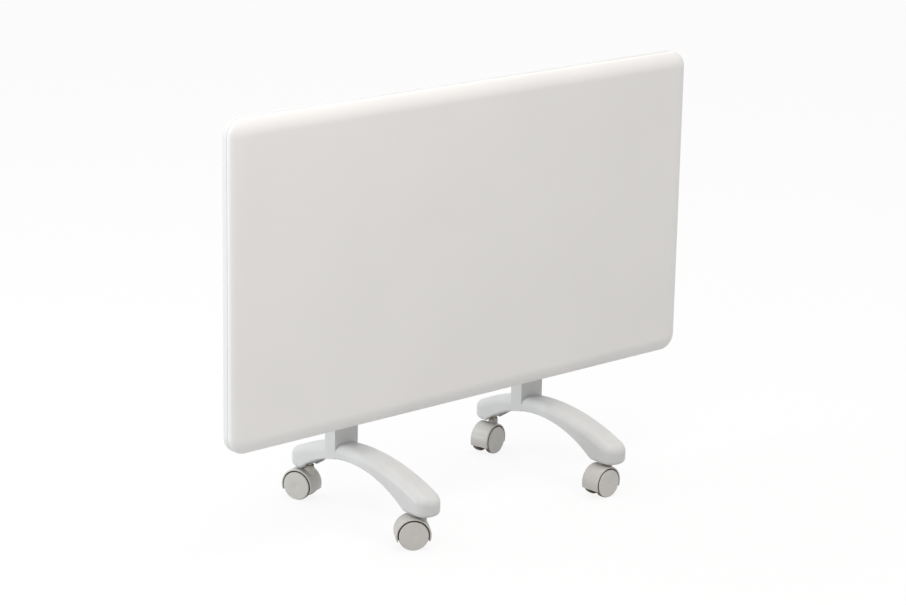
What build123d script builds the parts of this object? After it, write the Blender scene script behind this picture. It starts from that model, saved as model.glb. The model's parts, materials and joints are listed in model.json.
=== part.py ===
from build123d import *
import math
import os

# Wall panel convector heater on two castored feet. Millimetres, X to the right seen from the
# front, the front faces -Y, Z up. The origin is on the floor, under the middle of the whole.

# ---- panel: pressed front shell and rear casing ----
PANEL_W = 730.0
PANEL_H = 400.0
PANEL_DEPTH = 55.0
PANEL_BOTTOM = 130.5          # clear height under the panel
ROLL_REACH = 20.0             # rolled front edge, measured over the face
ROLL_DEPTH = 13.0             # rolled front edge, measured front to back
FACE_CORNER = 2.0             # corner radius that is left inside the roll
FRONT_SHEET = 1.2
CASING_SHEET = 1.0
SEAM_GAP = 0.6                # dark line between front shell and rear rim
RIM_DEPTH = 10.0              # rear rim behind the seam
RIM_WALL = 2.6                # hemmed edge of the rear rim
LIP_DEPTH = 3.0               # tongue of the casing inside the front shell
LIP_CLEARANCE = 0.4
RIM_EDGE = 2.0                # rounding of the rim's back edge
BACK_INSET_X = 28.0           # step from rim to rear box, at the sides
BACK_INSET_Z = 12.0           # and at top and bottom
BACK_CORNER = 12.0
BACK_EDGE = 4.0

# ---- fixing of the front shell ----
BOSS_R = 5.0
BOSS_EDGE = 14.0              # boss centre from the panel's side
BOSS_PITCH = 140.0
BOSSES_PER_SIDE = 3
TAP_R = 1.9
TAP_DEPTH = 12.0
SCREW_CLEARANCE = 0.3
SCREW_HEAD_R = 4.0
SCREW_HEAD_H = 2.4

# ---- air slots in the rear box ----
SLOT_LENGTH = 22.0
SLOT_WIDTH = 6.0
SLOT_PITCH = 28.0
SLOT_ROW_PITCH = 11.0
SLOT_MARGIN = 28.0            # from the rear box's sides
SLOT_FROM_GLAND = 68.0        # from the cable gland's middle
SWAGE_FROM_HOLES = 30.0       # swage's end from the peg holes
SWAGE_WIDTH = 10.0
SWAGE_DEPTH = 1.5
SWAGE_PITCH = 40.0

# ---- holes for the wall bracket's pegs ----
WALL_HOLE_R = 4.0
WALL_SPACING_X = 440.0
WALL_SPACING_Z = 150.0
WALL_BELOW_TOP = 35.0         # upper holes below the panel's top

# ---- feet ----
FOOT_Y = -5.85                 # feet's centre, so that the origin is under the middle
FOOT_X = 154.0
FRONT_TO_FOOT = 19.5          # from the front face back to the feet's centre
FOOT_W = 36.0
FOOT_LENGTH = 263.0
FOOT_TIP_FLAT = 1.0           # half the straight across each tip
FOOT_BASE = 43.0
FOOT_TOP = 95.0
FOOT_TOP_R = 292.0
FOOT_EDGE = 11.0
FOOT_LOWER_EDGE = 2.5         # along the arch
FOOT_TIP_EDGE = 6.0           # under the tips
FOOT_TIP_RIM = 0.8            # level rim left inside that rounding
SAME_R = 0.01                 # radii closer than this are one
FOOT_WALL = 2.8
ARCH_TOP = 77.3
ARCH_FROM_TIP = 29.8          # arch's ends from the tips, but for its shift back
ARCH_BACK = 6.0               # arch's middle behind the foot's
RIB = 2.2
RIB_PITCH = 30.0
RIBS_PER_END = 3
POST_DEPTH = 19.5
POST_RISE = 75.0              # above the panel's bottom
POST_WALL = 3.0
POST_CAVITY = 9.0             # hollow part, above the panel's bottom
POST_EDGE = 3.0
POST_SCREW_LOW = 29.0         # above the panel's bottom
POST_SCREW_PITCH = 30.0
POST_SCREW_R = 2.0
POST_SEAT_R = 5.5
POST_SEAT_DEPTH = 8.0
WELD_NUT_R = 4.4
WELD_NUT_H = 4.0

# ---- castors ----
STEM_FROM_TIP = 23.25         # stems from the feet's tips
TRAIL = 11.0                  # axle behind the swivel axis
WHEEL_R = 18.4
WHEEL_INNER = 6.9             # inner face from the castor's middle
WHEEL_OUTER = 13.0
WHEEL_RIM = 3.1
WHEEL_WEB = 2.0
WHEEL_HUB_R = 5.5
WHEEL_EDGE = 0.9
AXLE_R = 2.5
AXLE_EDGE = 0.4
RUNNING_CLEARANCE = 0.06
CAP_R = 17.8
CAP_THICK = 1.2
CAP_RING = 1.1
CAP_RING_DEPTH = 1.6
CAP_CLEARANCE = 0.1
HOOD_R = 21.6
HOOD_WALL = 2.0
HOOD_HALF_W = 13.3
HOOD_WEB = 12.4               # middle web, as thick as the stem boss
HOOD_EDGE = 1.0
HOOD_SKIRT = 7.0              # how far the hood reaches below the axle
BOSS_TOP = 42.5
COLLAR_R = 5.8
COLLAR_H = 1.9
COLLAR_GAP = 0.05
STEM_R = 4.0
STEM_TOP = 70.0
STEM_EDGE = 1.0
SPIGOT_R = 3.5
SPIGOT_FLOOR = 25.0
SOCKET_WALL = 1.6
SOCKET_FLANGE = 1.2
SOCKET_CLEARANCE = 0.1        # flange above the arch
SOCKET_FLANGE_R = 7.0
SOCKET_BOSS_R = 8.4
SWIVELS = {"front_left": 147.0, "front_right": 182.5, "rear_left": 112.0, "rear_right": 193.0}

# ---- heating element, its shield and wiring ----
SHIELD_SHEET = 0.8
SHIELD_FROM_SIDE = 57.0       # from the rear box's sides
SHIELD_H = 150.0
SHIELD_RISE = 20.0            # above the rear box's floor
SHIELD_STANDOFF = 6.0
SHIELD_TAB = 12.0
ELEMENT_FROM_EDGE = 40.0      # finned length from the shield's sides
ELEMENT_RISE = 70.0           # above the panel's bottom
ELEMENT_SHIFT = -20.0
ELEMENT_WING = 26.0
ELEMENT_WING_THICK = 1.4
ELEMENT_ANGLE = 62.0          # wing's slope
ELEMENT_CORE_R = 5.6
ELEMENT_FROM_SHIELD = 15.5
NOTCH_PITCH = 16.0
NOTCH_WIDTH = 2.0
NOTCH_START = 9.0
ROD_R = 4.0
ROD_END = 34.0
BRACKET_SHEET = 1.2
BRACKET_W = 24.0
BRACKET_H = 46.0
BRACKET_FOOT = 16.0
BRACKET_OUT = 18.0            # bracket from the end of the wings
BUSH_R = 6.5
BUSH_HALF = 3.0
BUSH_FLANGE_R = 8.5
SMALL_SCREW_R = 1.5
SMALL_HEAD_R = 3.0
SMALL_HEAD_H = 1.8
CUTOUT_R = 8.0
CUTOUT_H = 9.0
CUTOUT_FLANGE_W = 30.0
CUTOUT_FLANGE_H = 1.2
CUTOUT_RISE = 118.0
CUTOUT_TAG = 6.0              # spade tags: reach and width
CUTOUT_TAG_SHEET = 0.8
TERMINAL_W = 34.0
TERMINAL_D = 16.0
TERMINAL_H = 20.0
TERMINAL_FROM_SIDE = 25.0     # middle of the block from the rear box's side
TERMINAL_RISE = 52.0
LEAD_R = 1.6
LEAD_BEND = 9.0
LEAD_CLEARANCE = 0.4          # in the control box's floor

# ---- cable gland, in the rear box's floor ----
GLAND_FROM_SIDE = 37.0        # gland's middle from the rear box's side
GLAND_BORE_R = 4.2
GLAND_BODY_R = 8.0
GLAND_OUT = 9.0
GLAND_IN = 11.0
GLAND_DOME = 2.5
GLAND_NUT_R = 10.5
GLAND_NUT_H = 4.0

# ---- controls, in the rear box's right side ----
CONTROL_DROP = 78.0           # middle of the bezel below the panel's top
BEZEL_W = 25.0
BEZEL_H = 84.0
BEZEL_THICK = 2.5
BEZEL_CORNER = 4.0
BOX_DEPTH = 40.0
BOX_MARGIN = 2.5
BOX_WALL = 2.0
DIAL_R = 11.0
DIAL_H = 10.0
DIAL_ABOVE = 22.0
DIAL_GAP = 0.5
DIAL_FLUTES = 12
FLUTE_R = 1.3
DIAL_EDGE = 1.0
DIAL_SKIRT = 2.0              # below the flutes
DIAL_TOP = 2.0                # over the shaft's end
POINTER_W = 1.4
POINTER_RISE = 0.6
POINTER_IN = 2.0              # pointer's inner end from the dial's middle
SHAFT_R = 3.0
SHAFT_REACH = 7.0
THERMOSTAT_W = 18.0
THERMOSTAT_H = 30.0
THERMOSTAT_D = 22.0
LAMP_R = 2.5
LAMP_OUT = 1.2
LAMP_IN = 8.0
SWITCH_BELOW = 22.0
SWITCH_W = 17.0
SWITCH_H = 23.0
SWITCH_FLANGE = 1.5
SWITCH_CORNER = 1.0
SWITCH_DEPTH = 12.0
SWITCH_BACK = 2.0             # back wall of the case
ROCKER_W = 10.4
ROCKER_H = 16.4
ROCKER_GAP = 0.4
ROCKER_TILT = 10.0
ROCKER_RISE = 2.0
ROCKER_PIVOT_R = 1.2
ROCKER_PIN = 0.9
ROCKER_KEEL = 4.5
CONTROL_SCREW_PITCH = 76.0

# ---- places worked out from the sizes above ----
CORNER_R = ROLL_REACH + FACE_CORNER
FRONT_Y = FOOT_Y - FRONT_TO_FOOT
SEAM_Y = FRONT_Y + ROLL_DEPTH
RIM_Y = SEAM_Y + RIM_DEPTH
BACK_Y = FRONT_Y + PANEL_DEPTH
MID_Z = PANEL_BOTTOM + PANEL_H / 2
BOX_W = PANEL_W - 2 * BACK_INSET_X
BOX_H = PANEL_H - 2 * BACK_INSET_Z
BOX_FLOOR = MID_Z - BOX_H / 2
INNER_BACK_Y = BACK_Y - CASING_SHEET
SHIELD_Y = INNER_BACK_Y - SHIELD_STANDOFF
ELEMENT_Y = SHIELD_Y - ELEMENT_FROM_SHIELD
ELEMENT_Z = PANEL_BOTTOM + ELEMENT_RISE
CONTROL_Y = (RIM_Y + BACK_Y) / 2
CONTROL_Z = PANEL_BOTTOM + PANEL_H - CONTROL_DROP
SIDE_X = BOX_W / 2
BEZEL_X = SIDE_X + BEZEL_THICK
GLAND_X = SIDE_X - GLAND_FROM_SIDE
TERMINAL_X = SIDE_X - TERMINAL_FROM_SIDE
SHIELD_W = BOX_W - 2 * SHIELD_FROM_SIDE
ELEMENT_LENGTH = SHIELD_W - 2 * ELEMENT_FROM_EDGE
WALL_MIDDLE_Z = PANEL_BOTTOM + PANEL_H - WALL_BELOW_TOP - WALL_SPACING_Z / 2
AXLE_Z = WHEEL_R
FOOT_TIP_R = FOOT_W / 2 - FOOT_TIP_FLAT
STEM_SPACING = FOOT_LENGTH - 2 * STEM_FROM_TIP
ARCH_RISE = ARCH_TOP - FOOT_BASE
ARCH_HALF = FOOT_LENGTH / 2 - ARCH_FROM_TIP
ARCH_R = (ARCH_RISE ** 2 + ARCH_HALF ** 2) / (2 * ARCH_RISE)
SOCKET_FROM_ARCH = STEM_SPACING / 2 - SOCKET_FLANGE_R - ARCH_BACK
OVER_SOCKET = ARCH_TOP - ARCH_R + math.sqrt(ARCH_R ** 2 - SOCKET_FROM_ARCH ** 2)
SOCKET_BASE = max(OVER_SOCKET, FOOT_BASE) + SOCKET_CLEARANCE + SOCKET_FLANGE

NODES = {}


def slab(width, height, corner, y_front, y_back):
    """Rounded rectangle round the panel's middle, from y_front back to y_back."""
    outline = Plane.XZ * RectangleRounded(width, height, corner)
    return Pos(0, y_back, MID_Z) * extrude(outline, y_back - y_front)


def y_rod(x, z, radius, y_front, y_back):
    """Round bar along Y."""
    return Pos(x, y_back, z) * extrude(Plane.XZ * Circle(radius), y_back - y_front)


def x_rod(y, z, radius, x_low, x_high):
    """Round bar along X."""
    return Pos(x_low, y, z) * extrude(Plane.YZ * Circle(radius), x_high - x_low)


def z_rod(x, y, radius, z_low, z_high):
    """Round bar along Z."""
    return Pos(x, y, z_low) * extrude(Circle(radius), z_high - z_low)


def block(x_low, x_high, y_low, y_high, z_low, z_high):
    """Box between two corners."""
    middle = ((x_low + x_high) / 2, (y_low + y_high) / 2, (z_low + z_high) / 2)
    return Pos(*middle) * Box(x_high - x_low, y_high - y_low, z_high - z_low)


def pan_screw(radius, head_r, head_h, length):
    """Pan head screw along -Y: the head's seat is at the origin, the head lies on its +Y side."""
    head = Rot(-90, 0, 0) * extrude(Circle(head_r), head_h)
    crown = head.edges().group_by(Axis.Y)[-1]
    head = fillet(crown, head_h / 2)
    shank = Rot(90, 0, 0) * extrude(Circle(radius), length)
    return head + shank


# ---------------------------------------------------------------- panel

def rolled_block(width, height, face_corner, reach, depth):
    """Block whose front edge rolls back on two tangent arcs. Its front face is at Y = 0."""
    corner = face_corner + reach
    tight = ((reach + depth) / math.sqrt(2) - reach) / (math.sqrt(2) - 1)
    wide = reach + depth - tight
    edge = Line((0, 0), (face_corner, 0))
    edge += CenterArc((face_corner, wide), wide, -90, 45)
    edge += CenterArc((corner - tight, depth), tight, -45, 45)
    edge += Polyline((corner, depth), (0, depth), (0, 0))
    section = make_face(edge)
    run_x = width - 2 * corner
    run_z = height - 2 * corner
    turn = revolve(section, Axis.Y, 90)
    upright = extrude(section, run_z)
    level = extrude(section, run_x)
    solid = block(-run_x / 2, run_x / 2, 0, depth, -run_z / 2, run_z / 2)
    solid += Pos(run_x / 2, 0, -run_z / 2) * (upright + turn)
    solid += Pos(-run_x / 2, 0, run_z / 2) * Rot(0, 180, 0) * (upright + turn)
    solid += Pos(run_x / 2, 0, run_z / 2) * Rot(0, -90, 0) * (level + turn)
    solid += Pos(-run_x / 2, 0, -run_z / 2) * Rot(0, 90, 0) * (level + turn)
    return solid.clean()


def boss_places():
    """Centres of the screws that hold the front shell, as (x, z)."""
    x = PANEL_W / 2 - BOSS_EDGE
    first = -(BOSSES_PER_SIDE - 1) / 2
    steps = [first + i for i in range(BOSSES_PER_SIDE)]
    return [(side * x, MID_Z + step * BOSS_PITCH) for side in (-1, 1) for step in steps]


def front_panel():
    """Pressed front shell, open at the back, with tapped bosses behind its side edges."""
    place = Pos(0, FRONT_Y, MID_Z)
    outer = place * rolled_block(PANEL_W, PANEL_H, FACE_CORNER, ROLL_REACH, ROLL_DEPTH)
    hollow = rolled_block(PANEL_W - 2 * FRONT_SHEET, PANEL_H - 2 * FRONT_SHEET, FACE_CORNER,
                          ROLL_REACH - FRONT_SHEET, ROLL_DEPTH - FRONT_SHEET)
    skin = FRONT_SHEET / 2
    limit = rolled_block(PANEL_W - 2 * skin, PANEL_H - 2 * skin, FACE_CORNER,
                         ROLL_REACH - skin, ROLL_DEPTH - skin)
    limit = place * Pos(0, skin, 0) * limit
    shell = outer - place * Pos(0, FRONT_SHEET, 0) * hollow
    end_y = RIM_Y - CASING_SHEET
    for x, z in boss_places():
        shell += y_rod(x, z, BOSS_R, FRONT_Y, SEAM_Y) & limit
        shell += y_rod(x, z, BOSS_R, SEAM_Y, end_y)
    for x, z in boss_places():
        shell -= y_rod(x, z, TAP_R, end_y - TAP_DEPTH, end_y + 1)
    return shell


def rear_rim_and_box():
    """Rear casing without its holes: hemmed rim, flange, and the box behind it."""
    rim = slab(PANEL_W, PANEL_H, CORNER_R, SEAM_Y + SEAM_GAP, RIM_Y)
    rim = fillet(rim.edges().group_by(Axis.Y)[-1], RIM_EDGE)
    lip_in = FRONT_SHEET + LIP_CLEARANCE
    lip = slab(PANEL_W - 2 * lip_in, PANEL_H - 2 * lip_in, CORNER_R - lip_in,
               SEAM_Y + SEAM_GAP - LIP_DEPTH, RIM_Y - RIM_DEPTH / 2)
    box = slab(BOX_W, BOX_H, BACK_CORNER, RIM_Y - CASING_SHEET, BACK_Y)
    box = fillet(box.edges().group_by(Axis.Y)[-1], BACK_EDGE)
    front = SEAM_Y - RIM_DEPTH
    rim_hollow = slab(PANEL_W - 2 * RIM_WALL, PANEL_H - 2 * RIM_WALL, CORNER_R - RIM_WALL,
                      front, RIM_Y - CASING_SHEET)
    box_hollow = slab(BOX_W - 2 * CASING_SHEET, BOX_H - 2 * CASING_SHEET,
                      BACK_CORNER - CASING_SHEET, front, INNER_BACK_Y)
    box_hollow = fillet(box_hollow.edges().group_by(Axis.Y)[-1], BACK_EDGE - CASING_SHEET)
    return rim + lip + box - rim_hollow - box_hollow


def air_slots(x_low, x_high, z_wall):
    """Two rows of slots through the level wall whose outer face is at z_wall."""
    tool = Box(SLOT_LENGTH, SLOT_WIDTH, 4 * CASING_SHEET)
    count = int((x_high - x_low) / SLOT_PITCH)
    rows = GridLocations(SLOT_PITCH, SLOT_ROW_PITCH, count, 2)
    return [Pos((x_low + x_high) / 2, CONTROL_Y, z_wall) * spot * tool for spot in rows]


def wall_hole_places():
    """Centres of the holes for the wall bracket's pegs, as (x, z)."""
    half_x = WALL_SPACING_X / 2
    half_z = WALL_SPACING_Z / 2
    return [(sx * half_x, WALL_MIDDLE_Z + sz * half_z) for sx in (-1, 1) for sz in (-1, 1)]


def post_screw_heights():
    """Z of the two screws in each post."""
    low = PANEL_BOTTOM + POST_SCREW_LOW
    return (low, low + POST_SCREW_PITCH)


def post_screw_places():
    """Centres of the screws that hold the feet's posts, as (x, z)."""
    return [(side * FOOT_X, z) for side in (-1, 1) for z in post_screw_heights()]


def rear_casing():
    """Rear casing with its air slots, stiffening swages and holes."""
    casing = rear_rim_and_box()
    length = WALL_SPACING_X - 2 * SWAGE_FROM_HOLES
    for side in (-1, 1):
        z = WALL_MIDDLE_Z + side * SWAGE_PITCH / 2
        bead = extrude(Plane.XZ * SlotOverall(length, SWAGE_WIDTH), CASING_SHEET + SWAGE_DEPTH)
        casing += Pos(0, BACK_Y, z) * bead
        groove = extrude(Plane.XZ * SlotOverall(length - 2 * CASING_SHEET,
                                                SWAGE_WIDTH - 2 * CASING_SHEET), SWAGE_DEPTH)
        casing -= Pos(0, BACK_Y, z) * groove
    slots_end = SIDE_X - SLOT_MARGIN
    cuts = air_slots(-slots_end, slots_end, BOX_FLOOR + BOX_H)
    cuts += air_slots(-slots_end, GLAND_X - SLOT_FROM_GLAND, BOX_FLOOR)
    for x, z in wall_hole_places():
        cuts.append(y_rod(x, z, WALL_HOLE_R, INNER_BACK_Y - 1, BACK_Y + 1))
    for x, z in post_screw_places():
        cuts.append(y_rod(x, z, POST_SCREW_R + SCREW_CLEARANCE, INNER_BACK_Y - 1, BACK_Y + 1))
    for x, z in boss_places():
        cuts.append(y_rod(x, z, TAP_R + SCREW_CLEARANCE, RIM_Y - 2 * CASING_SHEET, RIM_Y + 1))
    cuts.append(z_rod(GLAND_X, CONTROL_Y, GLAND_BODY_R, BOX_FLOOR - 1, BOX_FLOOR + 2))
    half_w = BEZEL_W / 2 - BOX_MARGIN
    half_h = BEZEL_H / 2 - BOX_MARGIN
    cuts.append(block(SIDE_X - 2 * CASING_SHEET, SIDE_X + 1, CONTROL_Y - half_w,
                      CONTROL_Y + half_w, CONTROL_Z - half_h, CONTROL_Z + half_h))
    return casing - cuts


def casing_screws():
    """Screws from the rear flange into the front shell's bosses."""
    screw = pan_screw(TAP_R, SCREW_HEAD_R, SCREW_HEAD_H, TAP_DEPTH)
    return [Pos(x, RIM_Y, z) * screw for x, z in boss_places()]


# ---------------------------------------------------------------- heating parts

def heat_shield():
    """Hat-shaped sheet between the element and the back wall."""
    half = SHIELD_W / 2
    face = block(-half, half, SHIELD_Y, SHIELD_Y + SHIELD_SHEET, 0, SHIELD_H)
    for side in (-1, 1):
        inner, outer = sorted((side * half, side * (half - SHIELD_SHEET)))
        face += block(inner, outer, SHIELD_Y, INNER_BACK_Y, 0, SHIELD_H)
        inner, outer = sorted((side * (half - SHIELD_SHEET), side * (half + SHIELD_TAB)))
        face += block(inner, outer, INNER_BACK_Y - SHIELD_SHEET, INNER_BACK_Y, 0, SHIELD_H)
    shield = Pos(0, 0, BOX_FLOOR + SHIELD_RISE) * face
    for x, z in bracket_screw_places():
        shield -= y_rod(x, z, SMALL_SCREW_R, SHIELD_Y - 1, SHIELD_Y + SHIELD_SHEET + 1)
    return shield


def element_ends():
    """X of the two ends of the finned length."""
    return (ELEMENT_SHIFT - ELEMENT_LENGTH / 2, ELEMENT_SHIFT + ELEMENT_LENGTH / 2)


def heating_fins():
    """X-shaped aluminium extrusion with its wings slit into fins."""
    wing = Rectangle(ELEMENT_WING * 2, ELEMENT_WING_THICK)
    profile = Circle(ELEMENT_CORE_R)
    for angle in (ELEMENT_ANGLE, -ELEMENT_ANGLE):
        profile += Rot(0, 0, angle) * wing
    profile -= Circle(ROD_R)
    low, high = element_ends()
    fins = Pos(low, ELEMENT_Y, ELEMENT_Z) * extrude(Plane.YZ * profile, high - low)
    count = int((ELEMENT_LENGTH - NOTCH_PITCH) / NOTCH_PITCH)
    first = ELEMENT_SHIFT - (count - 1) * NOTCH_PITCH / 2
    depth = ELEMENT_WING * 2
    cuts = []
    for i in range(count):
        x = first + i * NOTCH_PITCH
        for side in (-1, 1):
            z = ELEMENT_Z + side * (NOTCH_START + depth / 2)
            cuts.append(Pos(x, ELEMENT_Y, z) * Box(NOTCH_WIDTH, depth, depth))
    return fins - cuts


def heating_rod():
    """Sheathed rod through the fins, with its cold ends."""
    low, high = element_ends()
    return x_rod(ELEMENT_Y, ELEMENT_Z, ROD_R, low - ROD_END, high + ROD_END)


def bracket_x(side):
    """X of the upright plate of one element bracket, its face towards the fins."""
    low, high = element_ends()
    return low - BRACKET_OUT if side < 0 else high + BRACKET_OUT


def bracket_screw_places():
    """Centres of the screws in the brackets' feet, as (x, z)."""
    places = []
    for side in (-1, 1):
        x = bracket_x(side) + side * (BRACKET_SHEET + BRACKET_FOOT / 2)
        places += [(x, ELEMENT_Z + step * BRACKET_H / 4) for step in (-1, 1)]
    return places


def element_bracket(side):
    """Sheet angle that carries one end of the element on the shield."""
    x = bracket_x(side)
    low, high = sorted((x, x + side * BRACKET_SHEET))
    top = ELEMENT_Z + BRACKET_H / 2
    base = ELEMENT_Z - BRACKET_H / 2
    plate = block(low, high, SHIELD_Y - BRACKET_W, SHIELD_Y, base, top)
    low, high = sorted((x, x + side * (BRACKET_SHEET + BRACKET_FOOT)))
    plate += block(low, high, SHIELD_Y - BRACKET_SHEET, SHIELD_Y, base, top)
    plate -= x_rod(ELEMENT_Y, ELEMENT_Z, BUSH_R, x - BUSH_HALF, x + BUSH_HALF)
    for sx, z in bracket_screw_places():
        if sx * side > 0:
            plate -= y_rod(sx, z, SMALL_SCREW_R, SHIELD_Y - BRACKET_SHEET - 1, SHIELD_Y + 1)
    return plate


def element_bush(side):
    """Heat-proof bush between rod and bracket."""
    x = bracket_x(side)
    low, high = sorted((x, x + side * BRACKET_SHEET))
    bush = x_rod(ELEMENT_Y, ELEMENT_Z, BUSH_R, low, high)
    bush += x_rod(ELEMENT_Y, ELEMENT_Z, BUSH_FLANGE_R, low - BUSH_HALF, low)
    bush += x_rod(ELEMENT_Y, ELEMENT_Z, BUSH_FLANGE_R, high, high + BUSH_HALF)
    return bush - x_rod(ELEMENT_Y, ELEMENT_Z, ROD_R, low - 2 * BUSH_HALF, high + 2 * BUSH_HALF)


def bracket_screws():
    """Small screws that hold the brackets to the shield."""
    screw = Rot(180, 0, 0) * pan_screw(SMALL_SCREW_R, SMALL_HEAD_R, SMALL_HEAD_H,
                                       BRACKET_SHEET + SHIELD_SHEET)
    return [Pos(x, SHIELD_Y - BRACKET_SHEET, z) * screw for x, z in bracket_screw_places()]


def overheat_cutout():
    """Disc cut-out on its flange, on the shield above the element."""
    z = PANEL_BOTTOM + CUTOUT_RISE
    flange = Plane.XZ * SlotOverall(CUTOUT_FLANGE_W, CUTOUT_R)
    body = Pos(0, SHIELD_Y, z) * extrude(flange, CUTOUT_FLANGE_H)
    body += y_rod(0, z, CUTOUT_R, SHIELD_Y - CUTOUT_H, SHIELD_Y)
    for side in (-1, 1):
        x = side * CUTOUT_R / 2
        sheet = CUTOUT_TAG_SHEET / 2
        body += block(x - sheet, x + sheet, SHIELD_Y - CUTOUT_H - CUTOUT_TAG,
                      SHIELD_Y - CUTOUT_H, z - CUTOUT_TAG / 2, z + CUTOUT_TAG / 2)
    return body


def terminal_block():
    """Three-way terminal block on the back wall."""
    z = PANEL_BOTTOM + TERMINAL_RISE
    half = TERMINAL_W / 2
    body = block(TERMINAL_X - half, TERMINAL_X + half, INNER_BACK_Y - TERMINAL_D, INNER_BACK_Y,
                 z - TERMINAL_H / 2, z + TERMINAL_H / 2)
    pitch = TERMINAL_W / 3
    for i in (-1, 0, 1):
        x = TERMINAL_X + i * pitch
        body -= y_rod(x, z - TERMINAL_H / 4, pitch / 4, INNER_BACK_Y - TERMINAL_D - 1,
                      INNER_BACK_Y - TERMINAL_D / 2)
        body -= z_rod(x, lead_y(), LEAD_R, z, z + TERMINAL_H)
    return body


def lead(points):
    """Insulated lead along straight runs with rounded corners."""
    path = FilletPolyline(*points, radius=LEAD_BEND)
    start = Plane(origin=path @ 0, z_dir=path % 0)
    return sweep(start * Circle(LEAD_R), path)


def lead_y():
    """Y of the leads where they enter the terminal block."""
    return INNER_BACK_Y - TERMINAL_D / 2


def box_floor_z():
    """Z of the underside of the control box."""
    return CONTROL_Z - BEZEL_H / 2 + BOX_MARGIN


def element_lead():
    """Lead from the terminal block to the element's right end."""
    x = TERMINAL_X - TERMINAL_W / 3
    z = PANEL_BOTTOM + TERMINAL_RISE
    y = lead_y()
    end = element_ends()[1] + ROD_END
    top = z + TERMINAL_H + 2 * LEAD_BEND
    return lead([(x, y, z), (x, y, top), (x, ELEMENT_Y, top), (x, ELEMENT_Y, ELEMENT_Z),
                 (end, ELEMENT_Y, ELEMENT_Z)])


def control_lead():
    """Lead from the terminal block up to the control box."""
    x = TERMINAL_X + TERMINAL_W / 3
    z = PANEL_BOTTOM + TERMINAL_RISE
    return z_rod(x, lead_y(), LEAD_R, z, box_floor_z() + BOX_WALL)


# ---------------------------------------------------------------- cable gland

def cable_gland():
    """Gland through the rear box's floor, with its bore open downwards."""
    body = z_rod(GLAND_X, CONTROL_Y, GLAND_BODY_R, BOX_FLOOR - GLAND_OUT, BOX_FLOOR + GLAND_IN)
    rim = body.edges().group_by(Axis.Z)[0]
    body = fillet(rim, GLAND_DOME)
    collar = RegularPolygon(GLAND_NUT_R, 6, major_radius=False)
    body += Pos(GLAND_X, CONTROL_Y, BOX_FLOOR - GLAND_NUT_H) * extrude(collar, GLAND_NUT_H)
    return body - z_rod(GLAND_X, CONTROL_Y, GLAND_BORE_R, BOX_FLOOR - 2 * GLAND_OUT,
                        BOX_FLOOR + 2 * GLAND_IN)


def gland_nut():
    """Lock nut on the gland, inside the casing."""
    nut = extrude(RegularPolygon(GLAND_NUT_R, 6, major_radius=False), GLAND_NUT_H)
    nut -= extrude(Circle(GLAND_BODY_R), GLAND_NUT_H)
    return Pos(GLAND_X, CONTROL_Y, BOX_FLOOR + CASING_SHEET) * nut


# ---------------------------------------------------------------- controls

def bezel_outline(width, height, corner, x_low, x_high):
    """Rounded rectangle on the control's middle, from x_low to x_high."""
    outline = Plane.YZ * RectangleRounded(width, height, corner)
    return Pos(x_low, CONTROL_Y, CONTROL_Z) * extrude(outline, x_high - x_low)


def control_housing():
    """Moulded bezel with the open box behind it."""
    housing = bezel_outline(BEZEL_W, BEZEL_H, BEZEL_CORNER, SIDE_X, BEZEL_X)
    housing = fillet(housing.edges().group_by(Axis.X)[-1], BEZEL_THICK / 3)
    width = BEZEL_W - 2 * BOX_MARGIN
    height = BEZEL_H - 2 * BOX_MARGIN
    half_w = width / 2
    half_h = height / 2
    low = SIDE_X - BOX_DEPTH
    housing += block(low, SIDE_X, CONTROL_Y - half_w, CONTROL_Y + half_w,
                     CONTROL_Z - half_h, CONTROL_Z + half_h)
    housing -= block(low - 1, SIDE_X - BOX_WALL, CONTROL_Y - half_w + BOX_WALL,
                     CONTROL_Y + half_w - BOX_WALL, CONTROL_Z - half_h + BOX_WALL,
                     CONTROL_Z + half_h - BOX_WALL)
    far = BEZEL_X + 1
    near = SIDE_X - 2 * BOX_WALL
    housing -= x_rod(CONTROL_Y, CONTROL_Z + DIAL_ABOVE, SHAFT_R + RUNNING_CLEARANCE, near, far)
    housing -= x_rod(CONTROL_Y, CONTROL_Z, LAMP_R, near, far)
    z = CONTROL_Z - SWITCH_BELOW
    half_w = SWITCH_W / 2 - SWITCH_FLANGE
    half_h = SWITCH_H / 2 - SWITCH_FLANGE
    housing -= block(near, far, CONTROL_Y - half_w, CONTROL_Y + half_w, z - half_h, z + half_h)
    for z in control_screw_heights():
        housing -= x_rod(CONTROL_Y, z, SMALL_SCREW_R, SIDE_X - 2 * BOX_WALL, far)
    x = TERMINAL_X + TERMINAL_W / 3
    return housing - z_rod(x, lead_y(), LEAD_R + LEAD_CLEARANCE, box_floor_z() - 1,
                           box_floor_z() + BOX_WALL + 1)


def control_screw_heights():
    """Z of the two bezel screws."""
    return (CONTROL_Z - CONTROL_SCREW_PITCH / 2, CONTROL_Z + CONTROL_SCREW_PITCH / 2)


def control_screws():
    """Small screws in the bezel."""
    screw = Rot(0, 0, -90) * pan_screw(SMALL_SCREW_R, SMALL_HEAD_R, SMALL_HEAD_H,
                                       BEZEL_THICK + BOX_WALL)
    return [Pos(BEZEL_X, CONTROL_Y, z) * screw for z in control_screw_heights()]


def thermostat():
    """Thermostat block behind the bezel, with the bearing of its shaft."""
    z = CONTROL_Z + DIAL_ABOVE
    face = SIDE_X - BOX_WALL
    half = THERMOSTAT_W / 2 - BOX_WALL
    body = block(face - THERMOSTAT_D, face, CONTROL_Y - half, CONTROL_Y + half,
                 z - THERMOSTAT_H / 2, z + BEZEL_H / 2 - DIAL_ABOVE - BOX_MARGIN - BOX_WALL)
    return body - x_rod(CONTROL_Y, z, SHAFT_R + RUNNING_CLEARANCE, face - SHAFT_REACH, face + 1)


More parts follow.
